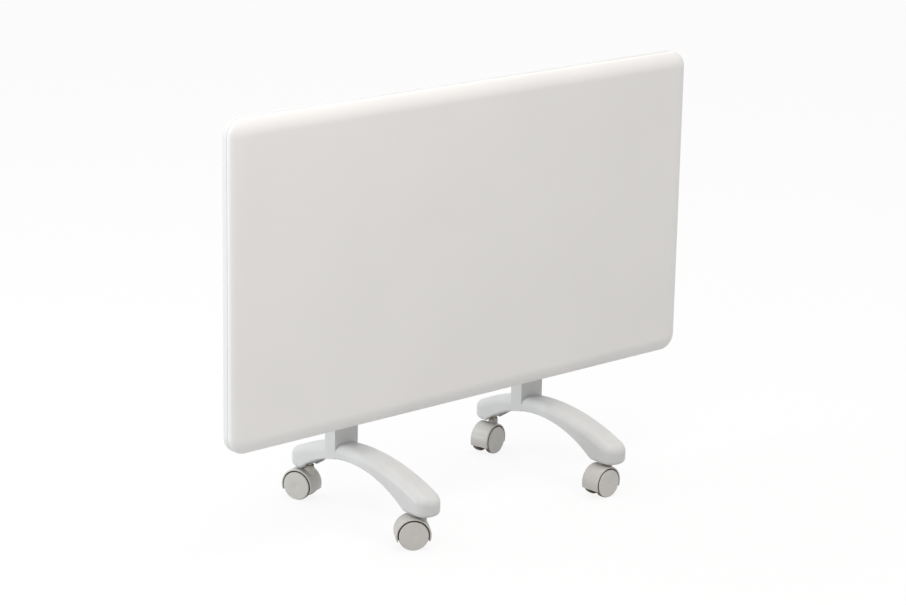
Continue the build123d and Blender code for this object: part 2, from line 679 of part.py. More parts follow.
def thermostat_shaft():
    """Shaft that the dial turns."""
    z = CONTROL_Z + DIAL_ABOVE
    low = SIDE_X - BOX_WALL - SHAFT_REACH + COLLAR_GAP
    return x_rod(CONTROL_Y, z, SHAFT_R, low, BEZEL_X + DIAL_GAP + DIAL_H - DIAL_TOP)


def thermostat_dial():
    """Fluted dial with a pointer ridge."""
    z = CONTROL_Z + DIAL_ABOVE
    low = BEZEL_X + DIAL_GAP
    top = low + DIAL_H
    dial = x_rod(CONTROL_Y, z, DIAL_R, low, top)
    dial = fillet(dial.edges().group_by(Axis.X)[-1], DIAL_EDGE)
    flute_centre = DIAL_R + FLUTE_R / 2
    for i in range(DIAL_FLUTES):
        angle = 2 * math.pi * (i + 0.5) / DIAL_FLUTES
        y = CONTROL_Y + flute_centre * math.cos(angle)
        dial -= x_rod(y, z + flute_centre * math.sin(angle), FLUTE_R, low + DIAL_SKIRT, top + 1)
    half = POINTER_W / 2
    dial += block(top - DIAL_EDGE, top + POINTER_RISE, CONTROL_Y - half, CONTROL_Y + half,
                  z + POINTER_IN, z + DIAL_R - DIAL_EDGE - half)
    return dial - x_rod(CONTROL_Y, z, SHAFT_R, low - 1, top - DIAL_TOP)


def pilot_lamp():
    """Lens of the pilot lamp in the bezel."""
    lens = x_rod(CONTROL_Y, CONTROL_Z, LAMP_R, BEZEL_X - LAMP_IN, BEZEL_X + LAMP_OUT)
    return fillet(lens.edges().group_by(Axis.X)[-1], LAMP_OUT / 2)


def rocker_cavity(x_low, x_high):
    """Room that the rocker swings in."""
    z = CONTROL_Z - SWITCH_BELOW
    half_w = ROCKER_W / 2 + ROCKER_GAP
    half_h = ROCKER_H / 2 + 2 * ROCKER_GAP
    return block(x_low, x_high, CONTROL_Y - half_w, CONTROL_Y + half_w, z - half_h, z + half_h)


def switch_body():
    """Case of the mains switch, snapped into the bezel."""
    z = CONTROL_Z - SWITCH_BELOW
    half_w = SWITCH_W / 2
    half_h = SWITCH_H / 2
    case = block(BEZEL_X, BEZEL_X + SWITCH_FLANGE, CONTROL_Y - half_w, CONTROL_Y + half_w,
                 z - half_h, z + half_h)
    case = fillet(case.edges().filter_by(Axis.X), SWITCH_CORNER)
    half_w -= SWITCH_FLANGE
    half_h -= SWITCH_FLANGE
    case += block(BEZEL_X - SWITCH_DEPTH, BEZEL_X, CONTROL_Y - half_w, CONTROL_Y + half_w,
                  z - half_h, z + half_h)
    case -= rocker_cavity(BEZEL_X - SWITCH_DEPTH + SWITCH_BACK, BEZEL_X + SWITCH_FLANGE + 1)
    pin_half = ROCKER_W / 2 + ROCKER_PIN + RUNNING_CLEARANCE
    seat_r = ROCKER_PIVOT_R + RUNNING_CLEARANCE
    pin_seat = Rot(90, 0, 0) * Cylinder(seat_r, 2 * pin_half)
    return case - Pos(BEZEL_X, CONTROL_Y, z) * pin_seat


def switch_rocker():
    """Rocker of the mains switch at off, tilted about its pivot."""
    half = ROCKER_H / 2
    lift = ROCKER_RISE + half * math.tan(math.radians(ROCKER_TILT))
    outline = Polyline((ROCKER_RISE, 0), (lift, half), (0, half), (-ROCKER_KEEL, half / 4),
                       (-ROCKER_KEEL, -half / 4), (0, -half), (lift, -half), (ROCKER_RISE, 0))
    side = Plane.XZ * make_face(outline)
    rocker = Pos(0, ROCKER_W / 2, 0) * extrude(side, ROCKER_W)
    pin_half = ROCKER_W / 2 + ROCKER_PIN
    rocker += Rot(90, 0, 0) * Cylinder(ROCKER_PIVOT_R, 2 * pin_half)
    return Pos(BEZEL_X, CONTROL_Y, CONTROL_Z - SWITCH_BELOW) * Rot(0, -ROCKER_TILT, 0) * rocker


# ---------------------------------------------------------------- feet

def foot_form(inset):
    """Foot's outer form, or the hollow in it for an inset of one wall: an arched bar."""
    width = FOOT_W - 2 * inset
    length = FOOT_LENGTH - 2 * inset
    base = FOOT_BASE - inset
    plan = RectangleRounded(width, length, FOOT_TIP_R - inset)
    prism = Pos(0, 0, base) * extrude(plan, FOOT_TOP - base)
    top_r = FOOT_TOP_R - inset
    top = x_rod(0, FOOT_TOP - FOOT_TOP_R, top_r, -FOOT_W, FOOT_W)
    bar = prism & top
    edges = bar.faces().sort_by(Axis.Z)[-1].edges()
    return fillet(edges, FOOT_EDGE - inset)


def arch():
    """Space under the foot's arch."""
    return x_rod(ARCH_BACK, ARCH_TOP - ARCH_R, ARCH_R, -FOOT_W, FOOT_W)


def tip_edges(bar):
    """Edges round the level underside of both tips."""
    edges = ShapeList()
    for face in bar.faces().filter_by(Axis.Z).group_by(Axis.Z)[0]:
        edges += face.edges().filter_by(Axis.X, reverse=True)
    return edges


def arch_edges(bar):
    """Edges along the arch, at both sides."""
    curves = bar.edges().filter_by(GeomType.CIRCLE)
    return curves.filter_by(lambda edge: abs(edge.radius - ARCH_R) < SAME_R)


def tip_rims():
    """Inturned rims under both tips, deep enough to carry the tips' lower rounding."""
    inset = FOOT_TIP_EDGE + FOOT_TIP_RIM
    plan = RectangleRounded(FOOT_W, FOOT_LENGTH, FOOT_TIP_R)
    mouth = RectangleRounded(FOOT_W - 2 * inset, FOOT_LENGTH - 2 * inset, FOOT_TIP_R - inset)
    ring = Pos(0, 0, FOOT_BASE) * extrude(plan - mouth, FOOT_TIP_EDGE)
    last_rib = RIBS_PER_END * RIB_PITCH
    return ring - block(-FOOT_W, FOOT_W, -last_rib, last_rib, 0, FOOT_TOP)


def post_outline():
    """Post that rises behind the panel from the foot."""
    front = BACK_Y - FOOT_Y
    half = FOOT_W / 2
    top = PANEL_BOTTOM + POST_RISE
    post = block(-half, half, front, front + POST_DEPTH, ARCH_TOP - FOOT_EDGE, top)
    return fillet(post.edges().group_by(Axis.Z)[-1], POST_EDGE)


def post_cavity():
    """Hollow inside the post, open into the foot."""
    front = BACK_Y - FOOT_Y
    half = FOOT_W / 2 - POST_WALL
    return block(-half, half, front + POST_WALL, front + POST_DEPTH - POST_WALL,
                 FOOT_BASE, PANEL_BOTTOM + POST_CAVITY)


def foot():
    """Moulded foot with post, stem bosses and inner ribs, at its own centre."""
    outer = foot_form(0) - arch()
    outer = fillet(tip_edges(outer), FOOT_TIP_EDGE)
    outer = fillet(arch_edges(outer), FOOT_LOWER_EDGE)
    shell = outer - foot_form(FOOT_WALL)
    shell += tip_rims() & outer
    inner_half = FOOT_W / 2 - FOOT_WALL / 2
    for step in range(1, RIBS_PER_END + 1):
        for y in (-step * RIB_PITCH, step * RIB_PITCH):
            rib = block(-inner_half, inner_half, y - RIB / 2, y + RIB / 2, FOOT_BASE, FOOT_TOP)
            shell += rib & outer
    for side in (-1, 1):
        y = side * STEM_SPACING / 2
        shell += z_rod(0, y, SOCKET_BOSS_R, SOCKET_BASE, FOOT_TOP) & outer
    shell += post_outline()
    shell -= post_cavity()
    shell -= arch()
    hole_r = STEM_R + SOCKET_WALL
    for side in (-1, 1):
        y = side * STEM_SPACING / 2
        shell -= z_rod(0, y, hole_r, SOCKET_BASE - 1, STEM_TOP + COLLAR_GAP)
    front = BACK_Y - FOOT_Y
    back = front + POST_DEPTH
    for z in post_screw_heights():
        shell -= y_rod(0, z, POST_SCREW_R + SCREW_CLEARANCE, front - 1, back + 1)
        shell -= y_rod(0, z, POST_SEAT_R, back - POST_SEAT_DEPTH, back + 1)
    return shell


def stem_socket():
    """Sleeve that grips a castor's stem, at its own axis."""
    socket = z_rod(0, 0, STEM_R + SOCKET_WALL, SOCKET_BASE - SOCKET_FLANGE, STEM_TOP)
    socket += z_rod(0, 0, SOCKET_FLANGE_R, SOCKET_BASE - SOCKET_FLANGE, SOCKET_BASE)
    return socket - z_rod(0, 0, STEM_R, FOOT_BASE, STEM_TOP + 1)


def post_screws():
    """Screws from the posts into the weld nuts."""
    seat = BACK_Y + POST_DEPTH - POST_SEAT_DEPTH
    length = seat - (INNER_BACK_Y - WELD_NUT_H)
    screw = pan_screw(POST_SCREW_R, SCREW_HEAD_R, SCREW_HEAD_H, length)
    return [Pos(x, seat, z) * screw for x, z in post_screw_places()]


def weld_nuts():
    """Nuts on the inside of the back wall."""
    nut = extrude(RegularPolygon(WELD_NUT_R, 6) - Circle(POST_SCREW_R), WELD_NUT_H)
    nut = Rot(90, 0, 0) * nut
    return [Pos(x, INNER_BACK_Y, z) * nut for x, z in post_screw_places()]


# ---------------------------------------------------------------- castors
# A castor is made with its swivel axis on Z and its axle along Y, trailing towards +X.

def castor_stem():
    """Stem with its collar and the spigot that the hood turns on."""
    collar = BOSS_TOP + COLLAR_GAP
    stem = z_rod(0, 0, STEM_R, collar, STEM_TOP)
    stem = fillet(stem.edges().group_by(Axis.Z)[-1], STEM_EDGE)
    stem += z_rod(0, 0, COLLAR_R, collar, collar + COLLAR_H)
    return stem + z_rod(0, 0, SPIGOT_R, SPIGOT_FLOOR + COLLAR_GAP, collar)


def castor_hood():
    """Hood over both wheels, with the middle web, stem boss and axle hole."""
    drum = y_rod(TRAIL, AXLE_Z, HOOD_R, -HOOD_HALF_W, HOOD_HALF_W)
    drum = fillet(drum.edges().filter_by(GeomType.CIRCLE), HOOD_EDGE)
    hood = drum + z_rod(0, 0, HOOD_WEB / 2, AXLE_Z, BOSS_TOP)
    for side in (-1, 1):
        low, high = sorted((side * HOOD_WEB / 2, side * (HOOD_HALF_W + 1)))
        hood -= y_rod(TRAIL, AXLE_Z, HOOD_R - HOOD_WALL, low, high)
    reach = 2 * HOOD_R
    hood -= block(TRAIL - reach, TRAIL + reach, -reach, reach, -reach, AXLE_Z - HOOD_SKIRT)
    hood -= z_rod(0, 0, SPIGOT_R + RUNNING_CLEARANCE, SPIGOT_FLOOR, BOSS_TOP + 1)
    return hood - y_rod(TRAIL, AXLE_Z, AXLE_R, -HOOD_WEB, HOOD_WEB)


def castor_axle():
    """Axle pin, pressed in the web."""
    reach = WHEEL_OUTER - CAP_CLEARANCE
    pin = y_rod(TRAIL, AXLE_Z, AXLE_R, -reach, reach)
    return chamfer(pin.edges().filter_by(GeomType.CIRCLE), AXLE_EDGE)


def turned(points):
    """Ring turned about the axle from (distance out, radius) points, on the +Y side."""
    outline = [(radius, out) for out, radius in points]
    ring = revolve(make_face(Polyline(*outline, outline[0])), Axis.Y, 360)
    return Pos(TRAIL, 0, AXLE_Z) * ring


def castor_wheel():
    """Wheel on the +Y side: rim, web and hub."""
    bore = AXLE_R + RUNNING_CLEARANCE
    rim_in = WHEEL_R - WHEEL_RIM
    middle = (WHEEL_INNER + WHEEL_OUTER) / 2
    web_in = middle - WHEEL_WEB / 2
    web_out = middle + WHEEL_WEB / 2
    e = WHEEL_EDGE
    hub_out = WHEEL_OUTER - CAP_CLEARANCE
    return turned([(WHEEL_INNER, bore), (hub_out, bore), (hub_out, WHEEL_HUB_R),
                   (web_out, WHEEL_HUB_R), (web_out, rim_in), (WHEEL_OUTER, rim_in),
                   (WHEEL_OUTER, WHEEL_R - e), (WHEEL_OUTER - e, WHEEL_R),
                   (WHEEL_INNER + e, WHEEL_R), (WHEEL_INNER, WHEEL_R - e),
                   (WHEEL_INNER, rim_in), (web_in, rim_in), (web_in, WHEEL_HUB_R),
                   (WHEEL_INNER, WHEEL_HUB_R)])


def castor_cap():
    """Cap on the wheel's outer face, with the ring that snaps into the rim."""
    ring_out = WHEEL_R - WHEEL_RIM - CAP_CLEARANCE
    ring_in = ring_out - CAP_RING
    back = WHEEL_OUTER - CAP_RING_DEPTH
    face = WHEEL_OUTER + CAP_THICK
    e = CAP_THICK / 2
    return turned([(WHEEL_OUTER, 0), (face, 0), (face, CAP_R - 2 * e), (face - e / 2, CAP_R - e / 2),
                   (face - e, CAP_R), (WHEEL_OUTER, CAP_R), (WHEEL_OUTER, ring_out),
                   (back, ring_out), (back, ring_in), (WHEEL_OUTER, ring_in)])


def castor_place(name):
    """Where a castor stands, and how it is turned."""
    x = -FOOT_X if name.endswith("left") else FOOT_X
    y = -STEM_SPACING / 2 if name.startswith("front") else STEM_SPACING / 2
    return Pos(x, FOOT_Y + y, 0) * Rot(0, 0, SWIVELS[name])


def add_castors():
    """Four castors, each with its stem, hood, axle, two wheels and two caps."""
    stem = castor_stem()
    hood = castor_hood()
    axle = castor_axle()
    wheel = castor_wheel()
    cap = castor_cap()
    other_side = Pos(2 * TRAIL, 0, 0) * Rot(0, 0, 180)
    for name in SWIVELS:
        place = castor_place(name)
        NODES[name + "_stem"] = place * stem
        NODES[name + "_hood"] = place * hood
        NODES[name + "_axle"] = place * axle
        NODES[name + "_wheel_1"] = place * wheel
        NODES[name + "_wheel_2"] = place * other_side * wheel
        NODES[name + "_cap_1"] = place * cap
        NODES[name + "_cap_2"] = place * other_side * cap


# ---------------------------------------------------------------- the whole

def add_feet():
    """Two feet with their stem sockets."""
    moulding = foot()
    socket = stem_socket()
    for side, x in (("left", -FOOT_X), ("right", FOOT_X)):
        NODES[side + "_foot"] = Pos(x, FOOT_Y, 0) * moulding
        half = STEM_SPACING / 2
        NODES[side + "_stem_sockets"] = [Pos(x, FOOT_Y - half, 0) * socket,
                                         Pos(x, FOOT_Y + half, 0) * socket]


def build():
    """All nodes of the heater."""
    NODES["front_panel"] = front_panel()
    NODES["rear_casing"] = rear_casing()
    NODES["casing_screws"] = casing_screws()
    NODES["heat_shield"] = heat_shield()
    NODES["heating_fins"] = heating_fins()
    NODES["heating_rod"] = heating_rod()
    NODES["left_element_bracket"] = element_bracket(-1)
    NODES["right_element_bracket"] = element_bracket(1)
    NODES["element_bushes"] = [element_bush(-1), element_bush(1)]
    NODES["bracket_screws"] = bracket_screws()
    NODES["overheat_cutout"] = overheat_cutout()
    NODES["terminal_block"] = terminal_block()
    NODES["element_lead"] = element_lead()
    NODES["control_lead"] = control_lead()
    NODES["cable_gland"] = cable_gland()
    NODES["gland_nut"] = gland_nut()
    NODES["control_housing"] = control_housing()
    NODES["control_screws"] = control_screws()
    NODES["thermostat"] = thermostat()
    NODES["thermostat_shaft"] = thermostat_shaft()
    NODES["thermostat_dial"] = thermostat_dial()
    NODES["pilot_lamp"] = pilot_lamp()
    NODES["switch_body"] = switch_body()
    NODES["switch_rocker"] = switch_rocker()
    add_feet()
    NODES["post_screws"] = post_screws()
    NODES["weld_nuts"] = weld_nuts()
    add_castors()


def write():
    """One STEP file for each node."""
    os.makedirs("parts", exist_ok=True)
    for name, shape in NODES.items():
        if isinstance(shape, list):
            shape = Compound(children=[Solid(piece.solid().wrapped) for piece in shape])
        export_step(shape, "parts/" + name + ".step")


build()
write()
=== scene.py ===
import json
import math

import bmesh
import bpy
from mathutils import Matrix, Vector


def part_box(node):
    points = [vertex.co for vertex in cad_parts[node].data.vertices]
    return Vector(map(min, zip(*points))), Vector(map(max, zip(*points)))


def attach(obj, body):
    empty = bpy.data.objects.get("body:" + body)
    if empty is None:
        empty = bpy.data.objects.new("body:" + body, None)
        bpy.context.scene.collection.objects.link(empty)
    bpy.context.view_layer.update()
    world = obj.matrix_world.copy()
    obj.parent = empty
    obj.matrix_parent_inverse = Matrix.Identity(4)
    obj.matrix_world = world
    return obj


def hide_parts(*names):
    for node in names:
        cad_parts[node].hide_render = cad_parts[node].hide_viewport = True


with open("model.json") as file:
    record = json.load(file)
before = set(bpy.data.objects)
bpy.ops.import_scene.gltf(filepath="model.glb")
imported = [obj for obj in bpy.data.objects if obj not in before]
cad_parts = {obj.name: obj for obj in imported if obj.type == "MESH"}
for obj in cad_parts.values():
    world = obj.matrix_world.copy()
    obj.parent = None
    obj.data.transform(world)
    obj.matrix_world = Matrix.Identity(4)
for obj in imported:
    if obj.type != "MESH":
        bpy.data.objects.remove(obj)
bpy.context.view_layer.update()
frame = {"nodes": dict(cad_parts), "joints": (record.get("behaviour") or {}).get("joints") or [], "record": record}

bl_info = {
    "name": "Panel Heater Dressing",
    "version": (1, 0, 0),
    "blender": (4, 5, 0),
    "location": "3D View > Sidebar > Heater",
    "description": "Finished shapes, surfaces and stage for a panel heater on castors",
    "category": "Object",
}

NODES = frame["nodes"]
JOINTS = {joint["name"]: joint for joint in frame["joints"]}
SLOT_OF = {part["node"]: part["material_slot"] for part in frame["record"]["subparts"]}
PANEL_LOW, PANEL_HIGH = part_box("front_panel")
CORNERS = ("front_left", "front_right", "rear_left", "rear_right")
MM = 0.001


# ---- settings

def number(label, note, default, **kind):
    """Number with its name and its note."""
    return bpy.props.FloatProperty(name=label, description=note, default=default, **kind)


def length(label, note, millimetres):
    """Length, given in millimetres and kept in metres."""
    return number(label, note, millimetres * MM, min=0.0, max=10.0, precision=5,
                  subtype="DISTANCE", unit="LENGTH")


def share(label, note, default, high=1.0):
    """Plain number from nought to high."""
    return number(label, note, default, min=0.0, max=high)


def count(label, note, default, low, high):
    """Whole number."""
    return bpy.props.IntProperty(name=label, description=note, default=default, min=low,
                                 max=high)


def bearing(label, note, default):
    """Angle in radians."""
    return number(label, note, default, subtype="ANGLE")


def watts(label, note, default):
    """Lamp power."""
    return number(label, note, default, min=0.0, unit="POWER")


def tint(label, note, default):
    """Linear colour."""
    return bpy.props.FloatVectorProperty(name=label, description=note, default=default,
                                         min=0.0, max=1.0, subtype="COLOR")


class SurfaceSettings(bpy.types.PropertyGroup):
    """Colours of what shows most."""
    panel: tint("Panel", "Powder coat of the front shell", (0.850, 0.838, 0.828))
    casing: tint("Casing", "Powder coat of the rear casing", (0.745, 0.755, 0.755))
    feet: tint("Feet", "Plastic of the feet", (0.655, 0.66, 0.655))
    hoods: tint("Hoods", "Plastic of the castors' hoods", (0.59, 0.575, 0.545))
    caps: tint("Caps", "Plastic of the wheels' caps", (0.64, 0.625, 0.59))
    # Painted shade: the wheels are coloured dark brown, darker than their own light plastic, so that the ring
    # between hood and cap and the tread under the hoods render as dark as the shade there
    wheels: tint("Wheels", "Plastic of the wheels", (0.12, 0.085, 0.065))


class ShellSettings(bpy.types.PropertyGroup):
    """Pressed front shell."""
    roll_reach: length("Roll reach", "Rolled edge measured over the face", 20.0)
    roll_depth: length("Roll depth", "Rolled edge measured front to back", 13.0)
    face_corner: length("Face corner", "Corner radius left inside the roll", 2.0)
    cap_corner: length("Cap corner", "Corner radius of the flat face inside that", 1.0)
    sheet: length("Sheet", "Thickness of the pressed sheet", 1.2)
    hem: length("Hem", "Rounding of the sheet's back edge", 0.35)
    corner_steps: count("Corner steps", "Facets round one corner", 28, 4, 64)
    roll_steps: count("Roll steps", "Facets over each arc of the roll", 12, 4, 48)


class CastorSettings(bpy.types.PropertyGroup):
    """Twin-wheel castors. Lengths along the axle are from the castor's middle."""
    hood_radius: length("Hood radius", "Outside of the hood", 21.6)
    hood_wall: length("Hood wall", "Thickness of the hood", 2.0)
    hood_half: length("Hood half width", "Hood's side from the middle", 13.3)
    hood_lip: length("Hood lip", "Rounding of the hood's outer edges", 1.2)
    hood_crease: length("Hood crease", "Rounding of the hood's inner edges", 0.3)
    web_half: length("Web half width", "Middle web's side from the middle", 6.2)
    skirt: length("Skirt", "Hood's reach below the axle", 7.0)
    neck_top: length("Neck top", "Top of the stem's boss above the floor", 42.5)
    neck_edge: length("Neck edge", "Bevel of the boss's top", 0.4)
    neck_floor: length("Neck floor", "Bottom of the spigot's hole", 25.0)
    spigot_radius: length("Spigot hole", "Radius of the spigot's hole", 3.56)
    wheel_radius: length("Wheel radius", "Outside of the tread", 18.4)
    wheel_near: length("Wheel near side", "Inner face of a wheel", 6.9)
    wheel_far: length("Wheel far side", "Outer face of a wheel", 13.0)
    shoulder: length("Shoulder", "Rounding of the tread's edges", 0.9)
    rim: length("Rim", "Thickness of the wheel's rim", 3.1)
    web: length("Wheel web", "Thickness of the wheel's web", 2.0)
    hub_radius: length("Hub radius", "Outside of the hub", 5.5)
    play: length("Play", "Play of the cap in the wheel", 0.1)
    bore: length("Bore", "Radius of the wheel's bore", 2.56)
    axle_radius: length("Axle radius", "Radius of the hole in the web", 2.5)
    cap_radius: length("Cap radius", "Outside of the flat cap", 17.8)
    cap_thick: length("Cap thickness", "Cap's face from the wheel's outer face", 1.2)
    cap_dish: length("Cap dish", "Hollow of the cap's face", 0.15)
    gate_radius: length("Gate radius", "Floor of the mould's gate mark", 0.9)
    gate_depth: length("Gate depth", "Depth of that mark", 0.12)
    gate_edge: length("Gate edge", "Outside of that mark", 1.3)
    snap_reach: length("Snap reach", "Reach of the cap's ring into the wheel", 1.6)
    snap_wall: length("Snap wall", "Thickness of that ring", 1.1)
    turn_steps: count("Turn steps", "Facets round a turned piece", 96, 24, 256)


class FixingSettings(bpy.types.PropertyGroup):
    """Cross-recess screws."""
    recess_width: share("Recess width", "Arms' width over the head's radius", 0.26)
    recess_reach: share("Recess reach", "Arms' reach over the head's radius", 0.58)
    recess_depth: share("Recess depth", "Its depth over the head's height", 0.62)
    brim: share("Brim", "Straight side over the head's height", 0.4)
    crown: share("Crown", "Rounding over the head's height", 0.6)
    point: share("Point", "Bevel of the shank's end over its radius", 0.4)
    head_steps: count("Head steps", "Facets round a screw", 32, 12, 96)


class TrimSettings(bpy.types.PropertyGroup):
    """Small drawn and moulded details."""
    slot_length: length("Slot length", "Length of an air slot", 22.0)
    slot_width: length("Slot width", "Width of an air slot", 6.0)
    slot_pitch: length("Slot pitch", "From slot to slot", 28.0)
    row_pitch: length("Row pitch", "From row to row", 11.0)
    upper_slots: count("Upper slots", "Slots in a row above", 22, 1, 60)
    lower_slots: count("Lower slots", "Slots in a row below", 19, 1, 60)
    lower_shift: length("Lower shift", "Lower rows' middle left of the panel's", 38.5)
    collar_bead: length("Collar bead", "Radius of an air slot's drawn edge", 0.45)
    casing_step: length("Casing step", "Step from the rim to the rear box", 12.0)
    rim_back: length("Rim back", "From the panel's face to the rear flange", 23.0)
    swage: length("Swage", "How far the swages stand out", 1.5)
    welds: count("Welds", "Spot welds on the rear flange", 36, 4, 200)
    weld_side: length("Weld side", "Welds from the panel's left and right", 22.0)
    weld_end: length("Weld end", "Welds from the panel's top and bottom", 9.0)
    weld_corner: length("Weld corner", "Corner radius of the welds' path", 14.0)
    weld_radius: length("Weld radius", "Spot weld's print", 2.1)
    weld_rise: length("Weld rise", "Height of that print", 0.22)
    scale_marks: count("Scale marks", "Marks round the dial's face", 11, 3, 40)
    scale_radius: length("Scale radius", "Marks from the dial's middle", 8.6)
    scale_sink: length("Scale sink", "Marks' middle below the dial's line", 0.6)
    scale_length: length("Scale length", "Length of a mark", 1.9)
    scale_width: length("Scale width", "Width and height of a mark", 0.5)
    index_gap: length("Index gap", "Index dot's middle above the dial", 2.6)
    index_radius: length("Index radius", "Radius of the index dot on the bezel", 0.9)
    mark_size: length("Mark size", "Bar's length and ring's width on the rocker", 3.2)
    mark_width: length("Mark width", "Width of the marks' lines", 0.6)
    mark_rise: length("Mark rise", "How far the marks stand out", 0.2)
    grip_ribs: count("Grip ribs", "Ribs round the cable gland", 28, 8, 80)
    grip_radius: length("Grip radius", "Ribs from the gland's middle", 8.0)
    grip_height: length("Grip height", "Ribs' middle above the gland's end", 3.7)
    grip_depth: length("Grip depth", "A rib across the gland's side", 0.6)
    grip_width: length("Grip width", "A rib round the gland", 0.8)
    grip_length: length("Grip length", "A rib along the gland", 2.3)


class StageSettings(bpy.types.PropertyGroup):
    """Camera, lamps and backdrop."""
    lens: number("Lens", "Focal length on a 36 mm sensor", 110.92, unit="CAMERA")
    yaw: bearing("Yaw", "Turn of the camera about the upright", 0.721691)
    pitch: bearing("Pitch", "Downward tilt of the camera", 0.276321)
    roll: bearing("Roll", "Turn of the camera about its view", 0.018791)
    stand: bpy.props.FloatVectorProperty(
        name="Camera place", description="Where the camera is", subtype="TRANSLATION",
        unit="LENGTH", default=(-2.19979, -2.48767, 1.19282))
    room_light: share("Room light", "Strength of the even light from all round", 0.75, 10.0)
    key_power: watts("Key lamp", "Power of the lamp before the object", 3.3)
    top_power: watts("Top lamp", "Power of the lamp overhead", 14.5)
    back_power: watts("Back lamp", "Power of the lamp behind on the left", 13.5)
    side_power: watts("Side lamp", "Power of the low lamp on the left", 6.0)
    floor_tone: share("Floor tone", "Share of the light that the floor throws back", 0.56)
    floor_seen: share("Floor seen", "The same as the camera sees it", 0.9)
    floor_white: share("Floor white", "Share of plain white in what is seen of the floor", 0.88)


# ---- surfaces

class Tree:
    """Node tree under construction."""

    def __init__(self, tree):
        self.tree = tree
        self.nodes = tree.nodes

    def feed(self, node, feeds):
        """Gives a node's inputs their links and values."""
        for key, value in feeds.items():
            if isinstance(value, bpy.types.NodeSocket):
                self.tree.links.new(value, node.inputs[key])
            else:
                node.inputs[key].default_value = value

    def add(self, kind, feeds, output=0, **settings):
        """Adds a node, feeds it, and gives one of its outputs."""
        node = self.nodes.new(kind)
        for key, value in settings.items():
            setattr(node, key, value)
        self.feed(node, feeds)
        return node.outputs[output]


class Finish(Tree):
    """Surface: one shader fed from the piece's own coordinates."""

    def __init__(self, name, colour, roughness, metal=0.0, specular=0.5):
        self.material = bpy.data.materials.new(name)
        self.material.use_nodes = True
        super().__init__(self.material.node_tree)
        self.colour = colour
        self.shader = self.nodes["Principled BSDF"]
        self.feed(self.shader, {"Base Color": (*colour, 1.0), "Roughness": roughness,
                                "Metallic": metal, "Specular IOR Level": specular})
        self.place = self.add("ShaderNodeTexCoord", {}, "Object")

    def stretched(self, scale):
        """The piece's coordinates, drawn out for a pattern that runs one way."""
        return self.add("ShaderNodeMapping", {"Scale": scale, "Vector": self.place})

    def noise(self, grains, detail=2.0, rough=0.5, along=None):
        """Cloudy pattern with that many grains to a metre."""
        return self.add("ShaderNodeTexNoise", {
            "Scale": grains, "Detail": detail, "Roughness": rough,
            "Vector": along or self.place}, "Fac")

    def cells(self, grains):
        """Distance to the middle of each cell of a cell pattern."""
        return self.add("ShaderNodeTexVoronoi", {"Scale": grains, "Vector": self.place},
                        "Distance")

    def waves(self, grains, along, bend):
        """Bands across the pattern's X."""
        return self.add("ShaderNodeTexWave", {
            "Scale": grains, "Distortion": bend, "Vector": along}, "Fac")

    def tones(self, source, darker, lighter, start=0.3, end=0.7):
        """Base colour that runs between a darker and a lighter tone of its own."""
        ramp = self.nodes.new("ShaderNodeValToRGB")
        for stop, position, factor in zip(ramp.color_ramp.elements, (start, end),
                                          (darker, lighter)):
            stop.position = position
            stop.color = (*(min(c * factor, 1.0) for c in self.colour), 1.0)
        self.feed(ramp, {"Fac": source})
        self.feed(self.shader, {"Base Color": ramp.outputs["Color"]})

    def gloss(self, source, low, high):
        """Roughness that follows a pattern."""
        spread = self.add("ShaderNodeMapRange", {
            "Value": source, "From Min": 0.3, "From Max": 0.7, "To Min": low, "To Max": high})
        self.feed(self.shader, {"Roughness": spread})

    def relief(self, source, height, strength):
        """Fine relief of that height in metres, over any that is there."""
        feeds = {"Strength": strength, "Distance": height, "Height": source}
        under = self.shader.inputs["Normal"]
        if under.is_linked:
            feeds["Normal"] = under.links[0].from_socket
        self.feed(self.shader, {"Normal": self.add("ShaderNodeBump", feeds)})


def powder_coat(name, colour):
    """Satin powder coat on sheet steel: fine orange peel over very slight waves."""
    finish = Finish(name, colour, 0.5, specular=0.35)
    finish.tones(finish.noise(7.0, 3.0), 0.985, 1.012)
    finish.gloss(finish.noise(60.0, 3.0), 0.47, 0.56)
    finish.relief(finish.noise(9.0, 1.0), 0.0004, 0.25)
    finish.relief(finish.noise(850.0, 2.0), 0.00004, 0.35)
    return finish.material


def moulded(name, colour, roughness, grains=1400.0, relief=0.00003):
    """Moulded plastic: faint flow tones and an eroded mould's fine grain."""
    finish = Finish(name, colour, roughness, specular=0.45)
    finish.tones(finish.noise(38.0, 4.0, 0.6), 0.965, 1.02)
    finish.gloss(finish.noise(220.0, 2.0), roughness - 0.05, roughness + 0.07)
    finish.relief(finish.noise(grains, 2.0), relief, 0.4)
    return finish.material


def zinc(name, colour):
    """Zinc plate: soft spangle and a faint bloom."""
    finish = Finish(name, colour, 0.34, metal=1.0)
    finish.tones(finish.cells(260.0), 0.86, 1.08, 0.1, 0.6)
    finish.gloss(finish.noise(420.0, 3.0), 0.26, 0.44)
    finish.relief(finish.noise(900.0, 2.0), 0.00003, 0.3)
    return finish.material


def rolled_metal(name, colour, roughness, lay):
    """Sheet or bar with fine lines along the way it was rolled or drawn."""
    finish = Finish(name, colour, roughness, metal=1.0)
    along = finish.stretched(lay)
    streaks = finish.noise(500.0, 4.0, 0.6, along)
    finish.tones(streaks, 0.88, 1.06)
    finish.gloss(streaks, roughness - 0.08, roughness + 0.1)
    finish.relief(finish.noise(1500.0, 2.0, 0.5, along), 0.00002, 0.4)
    return finish.material


def braided_sleeve(name, colour):
    """Woven sleeve on a lead: two crossing sets of strands."""
    finish = Finish(name, colour, 0.7)
    finish.tones(finish.noise(600.0, 3.0), 0.85, 1.05)
    for way, strength in (((1.0, 1.0, 1.0), 0.5), ((-1.0, 1.0, -1.0), 0.4)):
        finish.relief(finish.waves(420.0, finish.stretched(way), 0.4), 0.0001, strength)
    return finish.material


